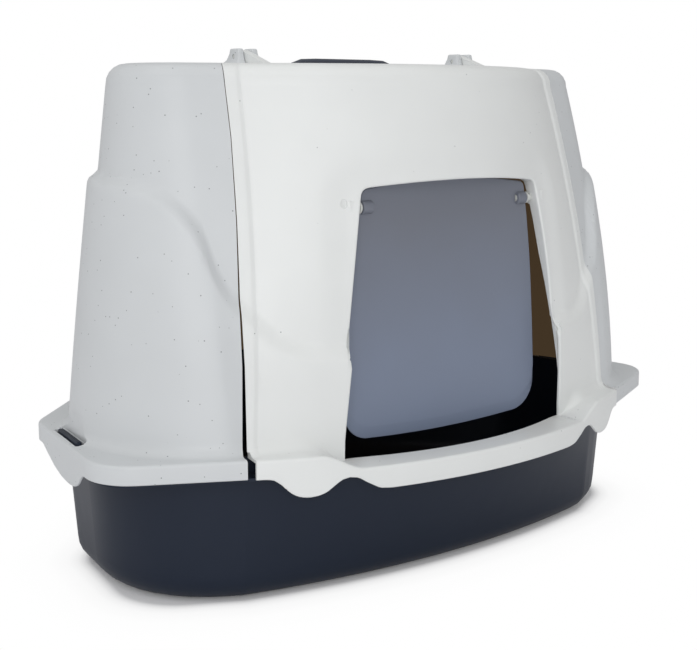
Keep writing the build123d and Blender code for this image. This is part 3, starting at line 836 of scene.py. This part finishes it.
# Seam between hood and visor: place across, depth and height, on the right side.
SEAM = [
    (193, -161, 60), (192.4, -160.4, 127), (189.7, -155.1, 188), (186.7, -145.6, 238), (181.6, -134.9, 295),
    (176.4, -120.3, 357), (173.3, -104.8, 411), (172.6, -101, 470),
]
# Heights between which the seam's gap narrows, and the direction in the plan in which it opens.
SEAM_FOOT = 118
SEAM_HEAD = 411
SEAM_TURN = math.radians(27)


def visor_region(foot_gap, head_gap, rim_gap):
    """The space that belongs to the visor, grown by gaps for cutting the hood."""
    way = Vector((math.cos(SEAM_TURN), math.sin(SEAM_TURN)))
    off = Vector((way.y, -way.x))
    rings = []
    for x, y, z in reversed(SEAM):
        low = max(0, (SEAM_HEAD - max(z, SEAM_FOOT)) / (SEAM_HEAD - SEAM_FOOT))
        place = Vector((x, y)) + way * mix(head_gap, foot_gap, low ** 3)
        half = [place + off * 160, place - off * 14]
        half[1].y = max(half[1].y, place.y + 6)
        rings.append([(px, py, z) for px, py in [*half, *mirrored(half)]])
    region = face_out(loft("visor region", rings))
    front = [(170 + head_gap, -135), (170 + head_gap, -108), (137 + head_gap, -60 + head_gap)]
    combine(region, "UNION", prism("visor tongue", front + mirrored(front), "z", 380, 465))
    gap = 197 + rim_gap
    end = [(gap + 0.222 * 118.5, -300), (gap - 0.222 * 81.5, -100), (350, -100), (350, -300)]
    for hand in SIDES.values():
        combine(region, "DIFFERENCE", prism("rim end", [(hand * x, y) for x, y in end], "z", 30, 125))
    return region


def well(name, half_x, low_y, high_y, radius, levels, materials=()):
    """A rounded rectangle's block or cutter: levels are heights from the top with outward growth."""
    rings = []
    for z, grow in levels:
        outline = rounded_rectangle(half_x + grow, low_y - grow, high_y + grow, radius + grow)
        rings.append([(x, y, z) for x, y in outline])
    return face_out(loft(name, rings, materials))


def flare(radius, top):
    """Levels of a well with a rounded mouth, from above the surface down to its straight sides."""
    levels = [(top + 20, radius * 0.75 + 1)]
    for share in (1, 0.75, 0.5, 0.25, 0):
        angle = math.radians(75 * share)
        levels.append((top - radius * (1 - math.sin(angle)), radius * (1 - math.cos(angle))))
    return levels


def latch_place(side, u, v, z):
    """A point on the end of the rim: u along the slot, v outwards."""
    corner, end = Vector(RIM[2]), Vector(RIM[3])
    run = (end - corner).normalized()
    across = Vector((run.y, -run.x))
    middle = corner.lerp(end, (LATCH_Y - corner.y) / (end.y - corner.y)) - Vector((LATCH_INSET, 0))
    p = middle + run * u + across * v
    return (side * p.x, p.y, z)


def latch_block(name, side, half_u, half_v, levels, radius=1.0, materials=(), middle=0):
    """A rounded block or cutter in the slot's own directions, from its top level down."""
    rings = []
    for z, grow in levels:
        outline = rounded_rectangle(half_u + grow, -half_v - grow, half_v + grow, radius + max(grow, 0), 3)
        rings.append([latch_place(side, u + middle, v, z) for u, v in outline])
    return face_out(loft(name, rings, materials))


class LITTERBOX_OT_hood(bpy.types.Operator):
    """Build the rear shell with its rim, pocket, vent and hinge cheeks"""
    bl_idname = "litter_box.hood"
    bl_label = "Hood"

    def execute(self, context):
        hood, top = in_mm("hood"), in_mm("top")
        rim = plan_ring(RIM, RIM_RADII, *RIM_COUNTS)

        def hem(p):
            return on_line(HOOD_HEM, p.y if abs(p.x) > 250 else 100)

        # The inner faces take the second material: painted shade with a painted glow.
        obj = shell_mesh(
            "hood_cover", HOOD_COUNTS, 3, rim, lambda p: hood.rim, lambda p: hood.foot, hem, hood, None,
            material_of("hood", "inside"),
        )
        half = top.handle_half + 3
        reach = POCKET_REACH + hood.wall
        levels = [(hood.top - hood.wall / 2, 0), (top.pocket - hood.wall, 0)]
        combine(obj, "UNION", well("pocket walls", half + hood.wall, -reach, reach, 12.5, levels))
        axis = (top.handle_y, top.handle_z)
        lug_axis = (68, 404.5)
        lug = [(63, 411), (63, 404.5), *arc(lug_axis, 5, range(200, 341, 20)), (73, 404.5), (73, 411)]
        for hand in SIDES.values():
            side_prism(obj, "UNION", hand, "boss", circle(6.5, axis), half, half + 7)
            side_prism(obj, "UNION", hand, "lug", lug, 52.5, 57.5)
        floor_edge = top.pocket + 4
        levels = flare(1.8, hood.top) + [(floor_edge, 0)]
        levels += [(z, grow) for grow, z in arc((-4, floor_edge), 4, (-30, -60, -85))]
        combine(obj, "DIFFERENCE", well("pocket", half, -POCKET_REACH, POCKET_REACH, 10, levels))
        for hand in SIDES.values():
            side_prism(obj, "DIFFERENCE", hand, "bore", circle(3.06, axis), half - 3, half + 5.5)
            side_prism(obj, "DIFFERENCE", hand, "lug bore", circle(2.56, lug_axis), 50, 60)
        reach = (top.vent_slots - 1) / 2 * top.vent_pitch
        start = (-reach, top.vent_y, hood.top - 8)
        slots = bars("vent slots", top.vent_slots, start, (top.vent_pitch, 0, 0), (3.6, 46, 20), 1.79)
        combine(obj, "DIFFERENCE", slots)
        levels = flare(0.8, hood.rim) + [(hood.rim - 12, 0), (80, 0)]
        for hand in SIDES.values():
            combine(obj, "DIFFERENCE", latch_block("slot", hand, 30, 4, levels, 1.2))
        combine(obj, "DIFFERENCE", visor_region(hood.seam_foot, hood.seam_head, hood.rim_gap))
        for hand in SIDES.values():
            for turn in (-hand, hand):
                combine(obj, "UNION", self.cheek(hand * top.hinge_x, turn, top))
        bore = circle(2.02, (top.hinge_y, top.hinge_z))
        for hand in SIDES.values():
            side_prism(obj, "DIFFERENCE", hand, "hinge bore", bore, top.hinge_x - 12, top.hinge_x + 12)
        settle(obj, "hood", "hood_plastic", "hood_shell")
        return {"FINISHED"}

    def cheek(self, x, turn, top):
        """One cheek of a visor hinge, with a spread foot: each level is a height and how far the cheek
        reaches sideways, forwards and back from the middle of the hinge."""
        rings = []
        levels = [
            (425, 9.3, 6.5, 6.5), (421, 9.6, 7.2, 7.4), (416, 10.6, 8.6, 10), (413, 13, 10.5, 13.5),
            (410.5, 16, 13, 17),
        ]
        for z, outer, front, back in levels:
            low, high = sorted((x + turn * 4.1, x + turn * outer))
            near, far = top.hinge_y - front, top.hinge_y + back
            rings.append([(high, near, z), (high, far, z), (low, far, z), (low, near, z)])
        return rounded(face_out(loft("cheek", rings)), 1.3)


class LITTERBOX_OT_visor(bpy.types.Operator):
    """Build the front shell with the door opening, sill and finger tabs"""
    bl_idname = "litter_box.visor"
    bl_label = "Visor"

    def execute(self, context):
        hood, visor, top, door = in_mm("hood"), in_mm("visor"), in_mm("top"), in_mm("door")
        radius, middle = 436.4, 207.9
        rim = [Vector((x, middle - math.sqrt(radius ** 2 - x ** 2))) for x in range(-230, 231, 5)]
        rim += [Vector(p) for p in ((340, -100), (340, 260), (-340, 260), (-340, -100))]

        def rim_z(p):
            share = smooth((abs(p.x) - 118) / 34) if p.y < 0 else 1
            return mix(visor.sill, hood.rim, share)

        def foot(p):
            return mix(0.4, hood.foot, smooth((abs(p.x) - 122) / 20)) if p.y < 0 else hood.foot

        def hem(p):
            return on_line(VISOR_HEM, abs(p.x)) if p.y < -100 else 107

        # The second material paints shade and a glow on the visor's inner faces.
        materials = material_of("visor", "inside")
        obj = shell_mesh("visor_cover", VISOR_COUNTS, 2.6, rim, rim_z, foot, hem, hood, visor, materials)
        combine(obj, "INTERSECT", visor_region(0, 0, 0))
        surface = wall_table(0, VISOR_COUNTS, hood, visor)

        def front_y(x, z):
            row = [surface(i, z) for i in range(VISOR_COUNTS[0] + 4)]
            for a, b in zip(row, row[1:]):
                if a.x <= abs(x) <= b.x:
                    return mix(a.y, b.y, (abs(x) - a.x) / (b.x - a.x))
            raise RuntimeError("no front wall at that place")

        def reveal(x, z):
            depth = mix(-178, visor.reveal, min(1, (z - visor.reveal_foot) / 80))
            return max(depth, front_y(x, z) + 2)

        outline = self.opening(visor)
        combine(obj, "UNION", self.plug("ring block", outline, 2.5, [(0, -1.2)], front_y, reveal))
        axis = (door.axis_y, door.axis_z)
        start = front_y(98.9, door.axis_z) + 1.2
        boss = [(start, 296), (-164.5, 296), *arc(axis, 6, range(-75, 91, 15)), (start, 308)]
        for hand in SIDES.values():
            side_prism(obj, "UNION", hand, "boss", boss, 94.9, 102.9)
        levels = arc((visor.mouth, -visor.mouth), visor.mouth, (105, 125, 145, 165, 180))
        levels = [(levels[0][0] + 2.9, levels[0][1] + 0.8), *levels]
        combine(obj, "DIFFERENCE", self.plug("opening", outline, 0, levels, front_y, lambda x, z: -120))
        combine(obj, "DIFFERENCE", self.sill_cutter(visor.sill))
        for hand in SIDES.values():
            side_prism(obj, "DIFFERENCE", hand, "bore", circle(door.pin + 0.06, axis), 70, 101.5)
            combine(obj, "UNION", self.ear(hand * top.hinge_x, top, hood, materials[:1]))
        x, z = -107.5, 306
        y = front_y(x, z)
        ball = arc((x, z), visor.mark, range(0, 360, 20), 1.25)
        tip = [(mix(x, px, 0.5), mix(z, pz, 0.5)) for px, pz in ball]
        levels = ((ball, y - 3), (ball, y + 0.9), (tip, y + 1.4))
        dimple = loft("mark", [[(px, depth, pz) for px, pz in level] for level, depth in levels])
        combine(obj, "DIFFERENCE", face_out(dimple))
        settle(obj, "visor", "visor_plastic", "visor_shell")
        return {"FINISHED"}

    def opening(self, visor):
        """The door opening's outline, counterclockwise from its bottom right corner, seen from the front."""
        def head(x):
            return Vector((x, visor.opening_top + visor.opening_rise * (1 - (x / visor.opening_high) ** 2)))

        half = []
        for k in range(15):
            z = mix(visor.sill + 0.05, visor.opening_top - visor.opening_corner, k / 14)
            whole = (z - visor.sill) / (visor.opening_top - visor.sill)
            swell = visor.opening_swell * 4 * whole * (1 - whole)
            half.append(Vector((mix(visor.opening_low, visor.opening_high, whole) + swell, z)))
        end_x = visor.opening_high - visor.opening_corner
        start, end = half[-1], head(end_x)
        corner = Vector((visor.opening_high + 0.4, visor.opening_top))
        for k in range(1, 7):
            half.append(start.lerp(corner, k / 6).lerp(corner.lerp(end, k / 6), k / 6))
        half += [head(end_x * (1 - k / 10)) for k in range(1, 10)]
        return half + [head(0)] + [Vector(p) for p in mirrored(half)]

    def plug(self, name, outline, grow, levels, front_y, back):
        """A solid in the opening: levels are growth and distance in front of the wall's surface."""
        normals = outward(outline)
        normals[0], normals[-1] = Vector((1, 0)), Vector((-1, 0))

        def ring(extra, place):
            level = []
            for p, n in zip(outline, normals):
                spread = grow + extra * smooth((p.y - outline[0].y) / 25)
                x, z = p.x + n.x * spread, p.y + n.y * spread
                level.append((x, place(x, z), z))
            return level

        rings = [ring(levels[0][0], lambda x, z: -330)] if len(levels) > 1 else []
        rings += [ring(extra, lambda x, z: front_y(x, z) - ahead) for extra, ahead in levels]
        return face_out(loft(name, rings + [ring(levels[-1][0], back)]))

    def sill_cutter(self, sill):
        """The space above and behind the sill, with a small rounding along its edge."""
        end = [(118.2, -150), (118.2, -180.8), (104, -184.5)]
        inner = [(x, -203 + 18.5 * (x / 104) ** 2) for x in range(96, -97, -8)]
        line = [Vector(p) for p in reversed(end + inner + mirrored(end))]
        spread = outward(line)
        rings = []
        for z, grow in ((sill + 0.9, 1.5), (sill, 0.9), (sill - 0.8, 0), (70, 0)):
            rings.append([(p.x + n.x * grow, p.y + n.y * grow, z) for p, n in zip(line, spread)])
        return face_out(loft("sill edge", rings))

    def ear(self, x, top, hood, materials):
        """The visor's half of a hinge: an eye on a long flat root."""
        axis = (top.hinge_y, top.hinge_z)
        root = [(-84, hood.top - 0.5), (-61, hood.top - 0.5), (-61, hood.top + 0.4)]
        outline = root + arc(axis, 5.5, range(230, 471, 12)) + [(-84, hood.top + 0.5)]
        obj = prism("ear", outline, "x", x - 3.6, x + 3.6, materials)
        return combine(obj, "DIFFERENCE", prism("eye", circle(2.06, axis), "x", x - 5, x + 5))


class LITTERBOX_OT_tray(bpy.types.Operator):
    """Build the deep tray with its flat lip and latch blocks"""
    bl_idname = "litter_box.tray"
    bl_label = "Tray"

    def execute(self, context):
        tray = in_mm("tray")

        def bowl(z, amount):
            depth = 1 - max(z - tray.corner, 0) / (tray.top - tray.corner)
            half = inset(RIM, tray.inset + tray.draft * depth + amount)
            half[0] = (0, half[0][1] + tray.rake * depth)
            radii = [max(r - tray.draft * depth - amount, 18) for r in TRAY_RADII]
            return plan_ring(half, radii, *RIM_COUNTS)

        def wall(amount, *heights):
            return [with_z(bowl(z, amount), z) for z in heights]

        def bend(radius, skin, angles):
            rings = []
            for angle in angles:
                turn = math.radians(angle)
                z = tray.corner - radius * math.sin(turn)
                rings += [with_z(bowl(z, skin + radius * (1 - math.cos(turn))), z)]
            return rings

        def top(p):
            back = smooth((abs(p.x) - 146) / 6) if p.y < 0 else 1
            return mix(tray.lip + 0.3, tray.top, back)

        def top_corner(p):
            return top(p) - 0.8 * (top(p) > 110)

        lip = plan_ring(inset(RIM, 4.5), [r - 4.5 for r in RIM_RADII], *RIM_COUNTS)
        low = tray.lip - 2.5
        inner = tray.corner - tray.wall
        quarter = (0, 15, 30, 45, 60, 75, 90)
        rings = wall(tray.wall + inner + 14, tray.wall) + bend(inner, tray.wall, reversed(quarter))
        rings += wall(tray.wall, 50, 80, low)
        for amount, height in ((tray.wall, top_corner), (tray.wall - 0.8, top), (0.8, top), (0, top_corner)):
            rings.append(with_z(bowl(tray.top, amount), height))
        rings += wall(0, tray.lip) + [with_z(lip, tray.lip), with_z(lip, low)] + wall(0, low, 85, 65, 45)
        rings += bend(tray.corner, 0, quarter) + wall(tray.corner + 14, 0)
        obj = loft("tray_bowl", rings, material_of("tray"))
        levels = [(tray.lip + 7.2, 0), (tray.lip - 0.5, 0)]
        for hand in SIDES.values():
            for place in (-27.8, 27.8):
                block = latch_block("latch block", hand, 2.5, 4.1, levels, 0.8, middle=place)
                combine(obj, "UNION", block)
        settle(obj, "tray", "tray_plastic", "tray")
        return {"FINISHED"}


# Small pieces


def turned(name, start, end, profile, materials=()):
    """A turned solid along a line: profile points are distance from the start and radius."""
    way = (Vector(end) - Vector(start)).normalized()
    one = way.orthogonal().normalized()
    two = way.cross(one)
    rings = []
    for distance, radius in profile:
        centre = Vector(start) + way * distance
        rings.append([tuple(centre + one * a + two * b) for a, b in circle(radius)])
    return face_out(loft(name, rings, materials))


def axle(hand, place, near, far):
    """Two points of a line along x on one side; the place is its depth and height."""
    return (hand * near, *place), (hand * far, *place)


def side_turned(obj, operation, hand, name, place, near, far, profile):
    """Adds or cuts a turned solid along x on one side, between two distances from the middle."""
    combine(obj, operation, turned(name, *axle(hand, place, near, far), profile))


def pin(name, ends, radius, chamfer, materials=()):
    """A plain pin with chamfered ends."""
    run = (Vector(ends[1]) - Vector(ends[0])).length
    profile = [(0, radius - chamfer), (chamfer, radius), (run - chamfer, radius), (run, radius - chamfer)]
    return turned(name, *ends, profile, materials)


class LITTERBOX_OT_latches(bpy.types.Operator):
    """Build both ribbed latch tongues in the ends of the rim"""
    bl_idname = "litter_box.latches"
    bl_label = "Latch tongues"

    def execute(self, context):
        top = in_mm("top")
        foot = 109.9
        pitch = 3.9 / top.tongue_ribs
        levels = [(123.2, -0.7), (123.0, -0.3), (122.5, 0), (foot, 0), (foot - 1.2, -0.6)]
        for name, hand in SIDES.items():
            material = material_of("tray")
            obj = latch_block("latch_" + name, hand, 25, 2.2, levels, 0.7, material)
            ends = latch_place(hand, -29.5, 0, foot), latch_place(hand, 29.5, 0, foot)
            combine(obj, "UNION", turned("latch foot", *ends, [(4.5, 2.6), (54.5, 2.6)]))
            combine(obj, "UNION", pin("latch pin", ends, 1.25, 0.3))
            first = Vector(latch_place(hand, 0, -pitch * (top.tongue_ribs - 1) / 2, 122.6))
            step = Vector(latch_place(hand, 0, pitch, 0)) - Vector(latch_place(hand, 0, 0, 0))
            size = (pitch * 0.55, 48, 0.9)
            turn = LATCH_TURN * hand
            ribs = bars("latch ribs", top.tongue_ribs, first, step, size, pitch * 0.2, material[0], turn)
            combine(obj, "UNION", ribs)
            settle(obj, "latch_" + name, "tray_plastic", "tray_latch_" + name)
        return {"FINISHED"}


class LITTERBOX_OT_door(bpy.types.Operator):
    """Build the frosted swing door with its bevelled foot and knuckles"""
    bl_idname = "litter_box.door"
    bl_label = "Swing door"

    def execute(self, context):
        door = in_mm("door")
        # The second colour is painted shade towards the door's head.
        colours = finish_colour("door_low"), finish_colour("door_head_painted_shade")
        material = frosted_polypropylene("frosted_polypropylene", *colours, 130, 310)
        half = [(x, 114.3 + 2.6 * (x / 76) ** 2) for x in range(0, 71, 7)]
        half += arc((78.5, 143), 26, range(-90, 1, 9)) + DOOR_EDGE
        half += [(x, 322 - 5.7 * (x / 83) ** 2) for x in (75, 65, 55, 45, 35, 25, 15, 7)]
        outline = [Vector(p) for p in half + [(0, 322)] + mirrored(half[1:])]
        normals = outward(outline)
        back, face = door.axis_y + door.thickness / 2, door.axis_y - door.thickness / 2

        def ring(y, amount):
            level = []
            for p, n in zip(outline, normals):
                band = mix(0, door.bevel - 0.6, smooth((150 - p.y) / 26)) if amount > 0.7 else 0
                level.append((p.x - n.x * (amount + band), y, p.y - n.y * (amount + band)))
            return level

        levels = ((face, 1.6), (face, 0.8), (face + 0.9, 0.3), (face + 1.2, 0), (back - 0.4, 0), (back, 0.4))
        obj = face_out(loft("swing_door", [ring(*level) for level in levels], [material]))
        axis = (door.axis_y, door.axis_z)
        knuckle = [(0, 4.9), (0.6, 5.5), (9.4, 5.5), (10, 4.9)]
        for hand in SIDES.values():
            side_turned(obj, "UNION", hand, "knuckle", axis, 78, 88, knuckle)
            side_turned(obj, "DIFFERENCE", hand, "knuckle bore", axis, 77, 91, [(0, 3.02), (14, 3.02)])
        settle(obj, "door", "door_plastic", "door_flap")
        return {"FINISHED"}


class LITTERBOX_OT_pins(bpy.types.Operator):
    """Build the pins of the visor, the door and the handle"""
    bl_idname = "litter_box.pins"
    bl_label = "Pins"

    def execute(self, context):
        door, top = in_mm("door"), in_mm("top")
        material = material_of("pin")
        stub = [(0, 2.5), (0.5, door.pin), (10.9, door.pin), (10.9, 4.4), (11.3, 4.9), (12.3, 4.9)]
        stub += [(12.7, 4.5), (12.7, door.pin), (22.3, door.pin), (22.8, 2.5)]
        for name, hand in SIDES.items():
            ends = axle(hand, (top.hinge_y, top.hinge_z), top.hinge_x - 9.3, top.hinge_x + 9.3)
            obj = pin("hinge_pin_" + name, ends, 2, 0.4, material)
            settle(obj, "hood", "pin_plastic", "visor_hinge_pin_" + name)
            ends = axle(hand, (door.axis_y, door.axis_z), 78, 100.8)
            obj = turned("door_stub_" + name, *ends, stub, material)
            settle(obj, "door", "pin_plastic", "door_pin_" + name)
            ends = axle(hand, (top.handle_y, top.handle_z), 70.5, 88)
            obj = pin("handle_stub_" + name, ends, 3, 0.4, material)
            settle(obj, "handle", "pin_plastic", "handle_pin_" + name)
        return {"FINISHED"}


class LITTERBOX_OT_handle(bpy.types.Operator):
    """Build the folding carry handle with its rounded grip"""
    bl_idname = "litter_box.handle"
    bl_label = "Carry handle"

    def execute(self, context):
        top = in_mm("top")
        eye = Vector((0, top.handle_y, top.handle_z))
        grip = Vector((0, top.handle_y - 42, top.handle_z + 10))
        reach = (grip - eye).length
        along = (grip - eye).normalized()
        up = Vector((1, 0, 0)).cross(along)
        up = up if up.z > 0 else -up
        arm_x, bend = top.handle_half - 7, 13
        path = [(arm_x, reach * t, Vector((0, 1))) for t in (0, 0.2, 0.4, 0.6)]
        for angle in range(0, 91, 10):
            turn = math.radians(angle)
            x = arm_x - bend + bend * math.cos(turn)
            path.append((x, reach - bend + bend * math.sin(turn), Vector((-math.sin(turn), math.cos(turn)))))
        path += [(x, reach, Vector((-1, 0))) for x in (45, 30, 15)]
        middle = [(0.0, reach, Vector((-1, 0)))]
        mirror = [(-x, v, Vector((way.x, -way.y))) for x, v, way in reversed(path)]
        rings = []
        for x, v, way in path + middle + mirror:
            swell = smooth(v / reach)
            wide, high = mix(11, 14.6, swell), mix(9, 11, swell)
            section = rounded_rectangle(wide / 2, -high / 2, high / 2, 3.4, 5)
            centre = eye + along * v + Vector((x, 0, -(1.5 + 7 * smooth((abs(x) - 40) / 28)) * swell))
            across = Vector((way.y, 0, 0)) + along * -way.x
            rings.append([tuple(centre + across * a + up * b) for a, b in section])
        obj = face_out(loft("carry_bail", rings, material_of("handle")))
        axis = (top.handle_y, top.handle_z)
        for hand in SIDES.values():
            eye_profile = [(0, 4.7), (0.8, 5.5), (13.2, 5.5), (14, 4.7)]
            side_turned(obj, "UNION", hand, "handle eye", axis, 66, 80, eye_profile)
            side_turned(obj, "DIFFERENCE", hand, "handle bore", axis, 70, 82, [(0, 3.02), (12, 3.02)])
        settle(obj, "handle", "handle_plastic", "carry_handle")
        return {"FINISHED"}


class LITTERBOX_OT_filter(bpy.types.Operator):
    """Build the filter frame and its carbon pad under the vent"""
    bl_idname = "litter_box.filter"
    bl_label = "Filter"

    def execute(self, context):
        y = in_mm("top").vent_y
        levels = [(409, -0.3), (408.7, 0), (399.6, 0), (399, -0.6)]
        obj = well("filter_holder", 52, y - 33, y + 33, 1.6, levels, material_of("handle"))
        combine(obj, "DIFFERENCE", well("holder inside", 49.5, y - 30.5, y + 30.5, 1, [(420, 0), (401.5, 0)]))
        for row in (-15.25, 15.25):
            windows = bars("holder windows", 3, (-33, y + row, 396), (33, 0, 0), (28, 25.5, 9), 1.5)
            combine(obj, "DIFFERENCE", windows)
        trunnion = [(0, 2.5), (6, 2.5), (6.5, 2)]
        for hand in SIDES.values():
            side_turned(obj, "UNION", hand, "trunnion", (y - 30, 404), 50.5, 57, trunnion)
        settle(obj, "filter", "handle_plastic", "filter_frame")
        levels = [(407.5, -0.8), (406.9, -0.2), (406.2, 0), (402.6, 0), (401.5, -0.8)]
        pad = well("carbon_pad", 49.2, y - 30.2, y + 30.2, 3, levels, material_of("carbon"))
        settle(pad, "filter", "carbon_foam", "carbon_filter")
        return {"FINISHED"}


# Stage


def softbox(name, place, aim, size, power):
    """A rectangular area lamp that looks at a point."""
    lamp = bpy.data.lights.new(name, "AREA")
    lamp.shape = "RECTANGLE"
    lamp.size, lamp.size_y = size
    lamp.energy = power
    obj = bpy.data.objects.new(name, lamp)
    obj.location = place
    obj.rotation_euler = (Vector(aim) - Vector(place)).to_track_quat("-Z", "Y").to_euler()
    bpy.context.scene.collection.objects.link(obj)


def white_world(strength):
    """A white backdrop to the eye, and a weaker even light on everything, softer from the right."""
    world = bpy.data.worlds.new("White room")
    world.use_nodes = True
    tree = world.node_tree
    tree.nodes.clear()
    path = add_node(tree, "ShaderNodeLightPath").outputs
    seen = maths(tree, "MAXIMUM", path["Is Camera Ray"], path["Is Transmission Ray"])
    way = add_node(tree, "ShaderNodeTexCoord").outputs["Generated"]
    across = add_node(tree, "ShaderNodeSeparateXYZ", {0: way}).outputs["X"]
    even = mapped(tree, across, 1.25 * strength, 0.75 * strength, (-1.0, 1.0))
    level = mapped(tree, seen, even, 1.0)
    light = add_node(tree, "ShaderNodeBackground", {"Color": (1, 1, 1, 1), "Strength": level})
    add_node(tree, "ShaderNodeOutputWorld", {"Surface": light.outputs[0]})
    return world


def floor_mesh(outline):
    """A wide floor round the tray's outline, with an attribute that fades away from the tray."""
    steps = ((-40, 1), (-2, 0.9), (3, 0.5), (8, 0.24), (16, 0.1), (34, 0.025), (70, 0), (FLOOR_REACH, 0))
    rings = []
    for reach, _ in steps[:-1]:
        rings.append(plan_ring(inset(outline, -reach), [r + reach for r in (55, 50, 50)], *RIM_COUNTS))
    rings.append([p.normalized() * FLOOR_REACH for p in rings[-1]])
    count = len(rings[0])
    points = [p for ring in rings for p in with_z(ring, 0)]
    floor = new_object("floor", points, [tuple(range(count)), *ring_faces(rings)])
    shadow = floor.data.attributes.new("shadow_share", "FLOAT", "POINT")
    shadow.data.foreach_set("value", [fade for _, fade in steps for _ in range(count)])
    return floor


def floor_material():
    """Seamless white paper: plain white to the eye, with its shadow kept close to the tray."""
    material, tree, place = new_material("white_paper")
    bump = bumped(tree, noise(tree, place, 2.5, 2.0), 0.02, 0.02)
    paper = add_node(tree, "ShaderNodeBsdfDiffuse", {"Color": finish_colour("floor"), "Normal": bump})
    white = add_node(tree, "ShaderNodeEmission", {"Color": (1, 1, 1, 1), "Strength": 1.0})
    seen = add_node(tree, "ShaderNodeLightPath").outputs["Is Camera Ray"]
    kept = add_node(tree, "ShaderNodeAttribute", attribute_name="shadow_share").outputs["Fac"]
    share = maths(tree, "MULTIPLY", seen, maths(tree, "SUBTRACT", 1.0, kept))
    lifted = {0: share, 1: paper.outputs[0], 2: white.outputs[0]}
    output(tree, add_node(tree, "ShaderNodeMixShader", lifted))
    return material


class LITTERBOX_OT_stage(bpy.types.Operator):
    """Set the floor, the lamps, the white surroundings and the camera"""
    bl_idname = "litter_box.stage"
    bl_label = "Stage"

    def execute(self, context):
        scene = context.scene
        tray = in_mm("tray")
        outline = inset(RIM, tray.inset + tray.draft + 6)
        outline[0] = (0, outline[0][1] + tray.rake)
        floor = floor_mesh(outline)
        floor.data.materials.append(floor_material())
        for lamp in LAMPS:
            softbox(*lamp)
        scene.world = white_world(WORLD_STRENGTH)
        scene.view_settings.view_transform = "Standard"
        lens = bpy.data.cameras.new("Camera")
        lens.lens = CAMERA_LENS
        lens.sensor_width = 36
        camera = bpy.data.objects.new("Camera", lens)
        camera.location = CAMERA_PLACE
        camera.rotation_euler = [math.radians(a) for a in CAMERA_ANGLES]
        scene.collection.objects.link(camera)
        scene.camera = camera
        return {"FINISHED"}


OPERATORS = (
    LITTERBOX_OT_tray, LITTERBOX_OT_latches, LITTERBOX_OT_hood, LITTERBOX_OT_visor, LITTERBOX_OT_door,
    LITTERBOX_OT_pins, LITTERBOX_OT_handle, LITTERBOX_OT_filter, LITTERBOX_OT_stage,
)


class LITTERBOX_PT_sidebar(bpy.types.Panel):
    """Lists the pieces and their sizes"""
    bl_idname = "LITTERBOX_PT_sidebar"
    bl_label = "Litter box"
    bl_space_type = "VIEW_3D"
    bl_region_type = "UI"
    bl_category = "Litter box"

    def draw(self, context):
        for operator in OPERATORS:
            self.layout.operator(operator.bl_idname)
        for name, group in GROUPS.items():
            box = self.layout.box()
            box.label(text=name.capitalize())
            for key in group.__annotations__:
                label = key.replace("_", " ").capitalize()
                box.prop(getattr(context.scene, "litter_box_" + name), key, text=label)


def register():
    for cls in (*GROUPS.values(), *OPERATORS, LITTERBOX_PT_sidebar):
        bpy.utils.register_class(cls)
    for name, group in GROUPS.items():
        setattr(bpy.types.Scene, "litter_box_" + name, bpy.props.PointerProperty(type=group))


def unregister():
    for name in GROUPS:
        delattr(bpy.types.Scene, "litter_box_" + name)
    for cls in (LITTERBOX_PT_sidebar, *reversed(OPERATORS), *GROUPS.values()):
        bpy.utils.unregister_class(cls)


def main():
    register()
    for operator in OPERATORS:
        family, name = operator.bl_idname.split(".")
        getattr(getattr(bpy.ops, family), name)()


if __name__ == "__main__":
    main()
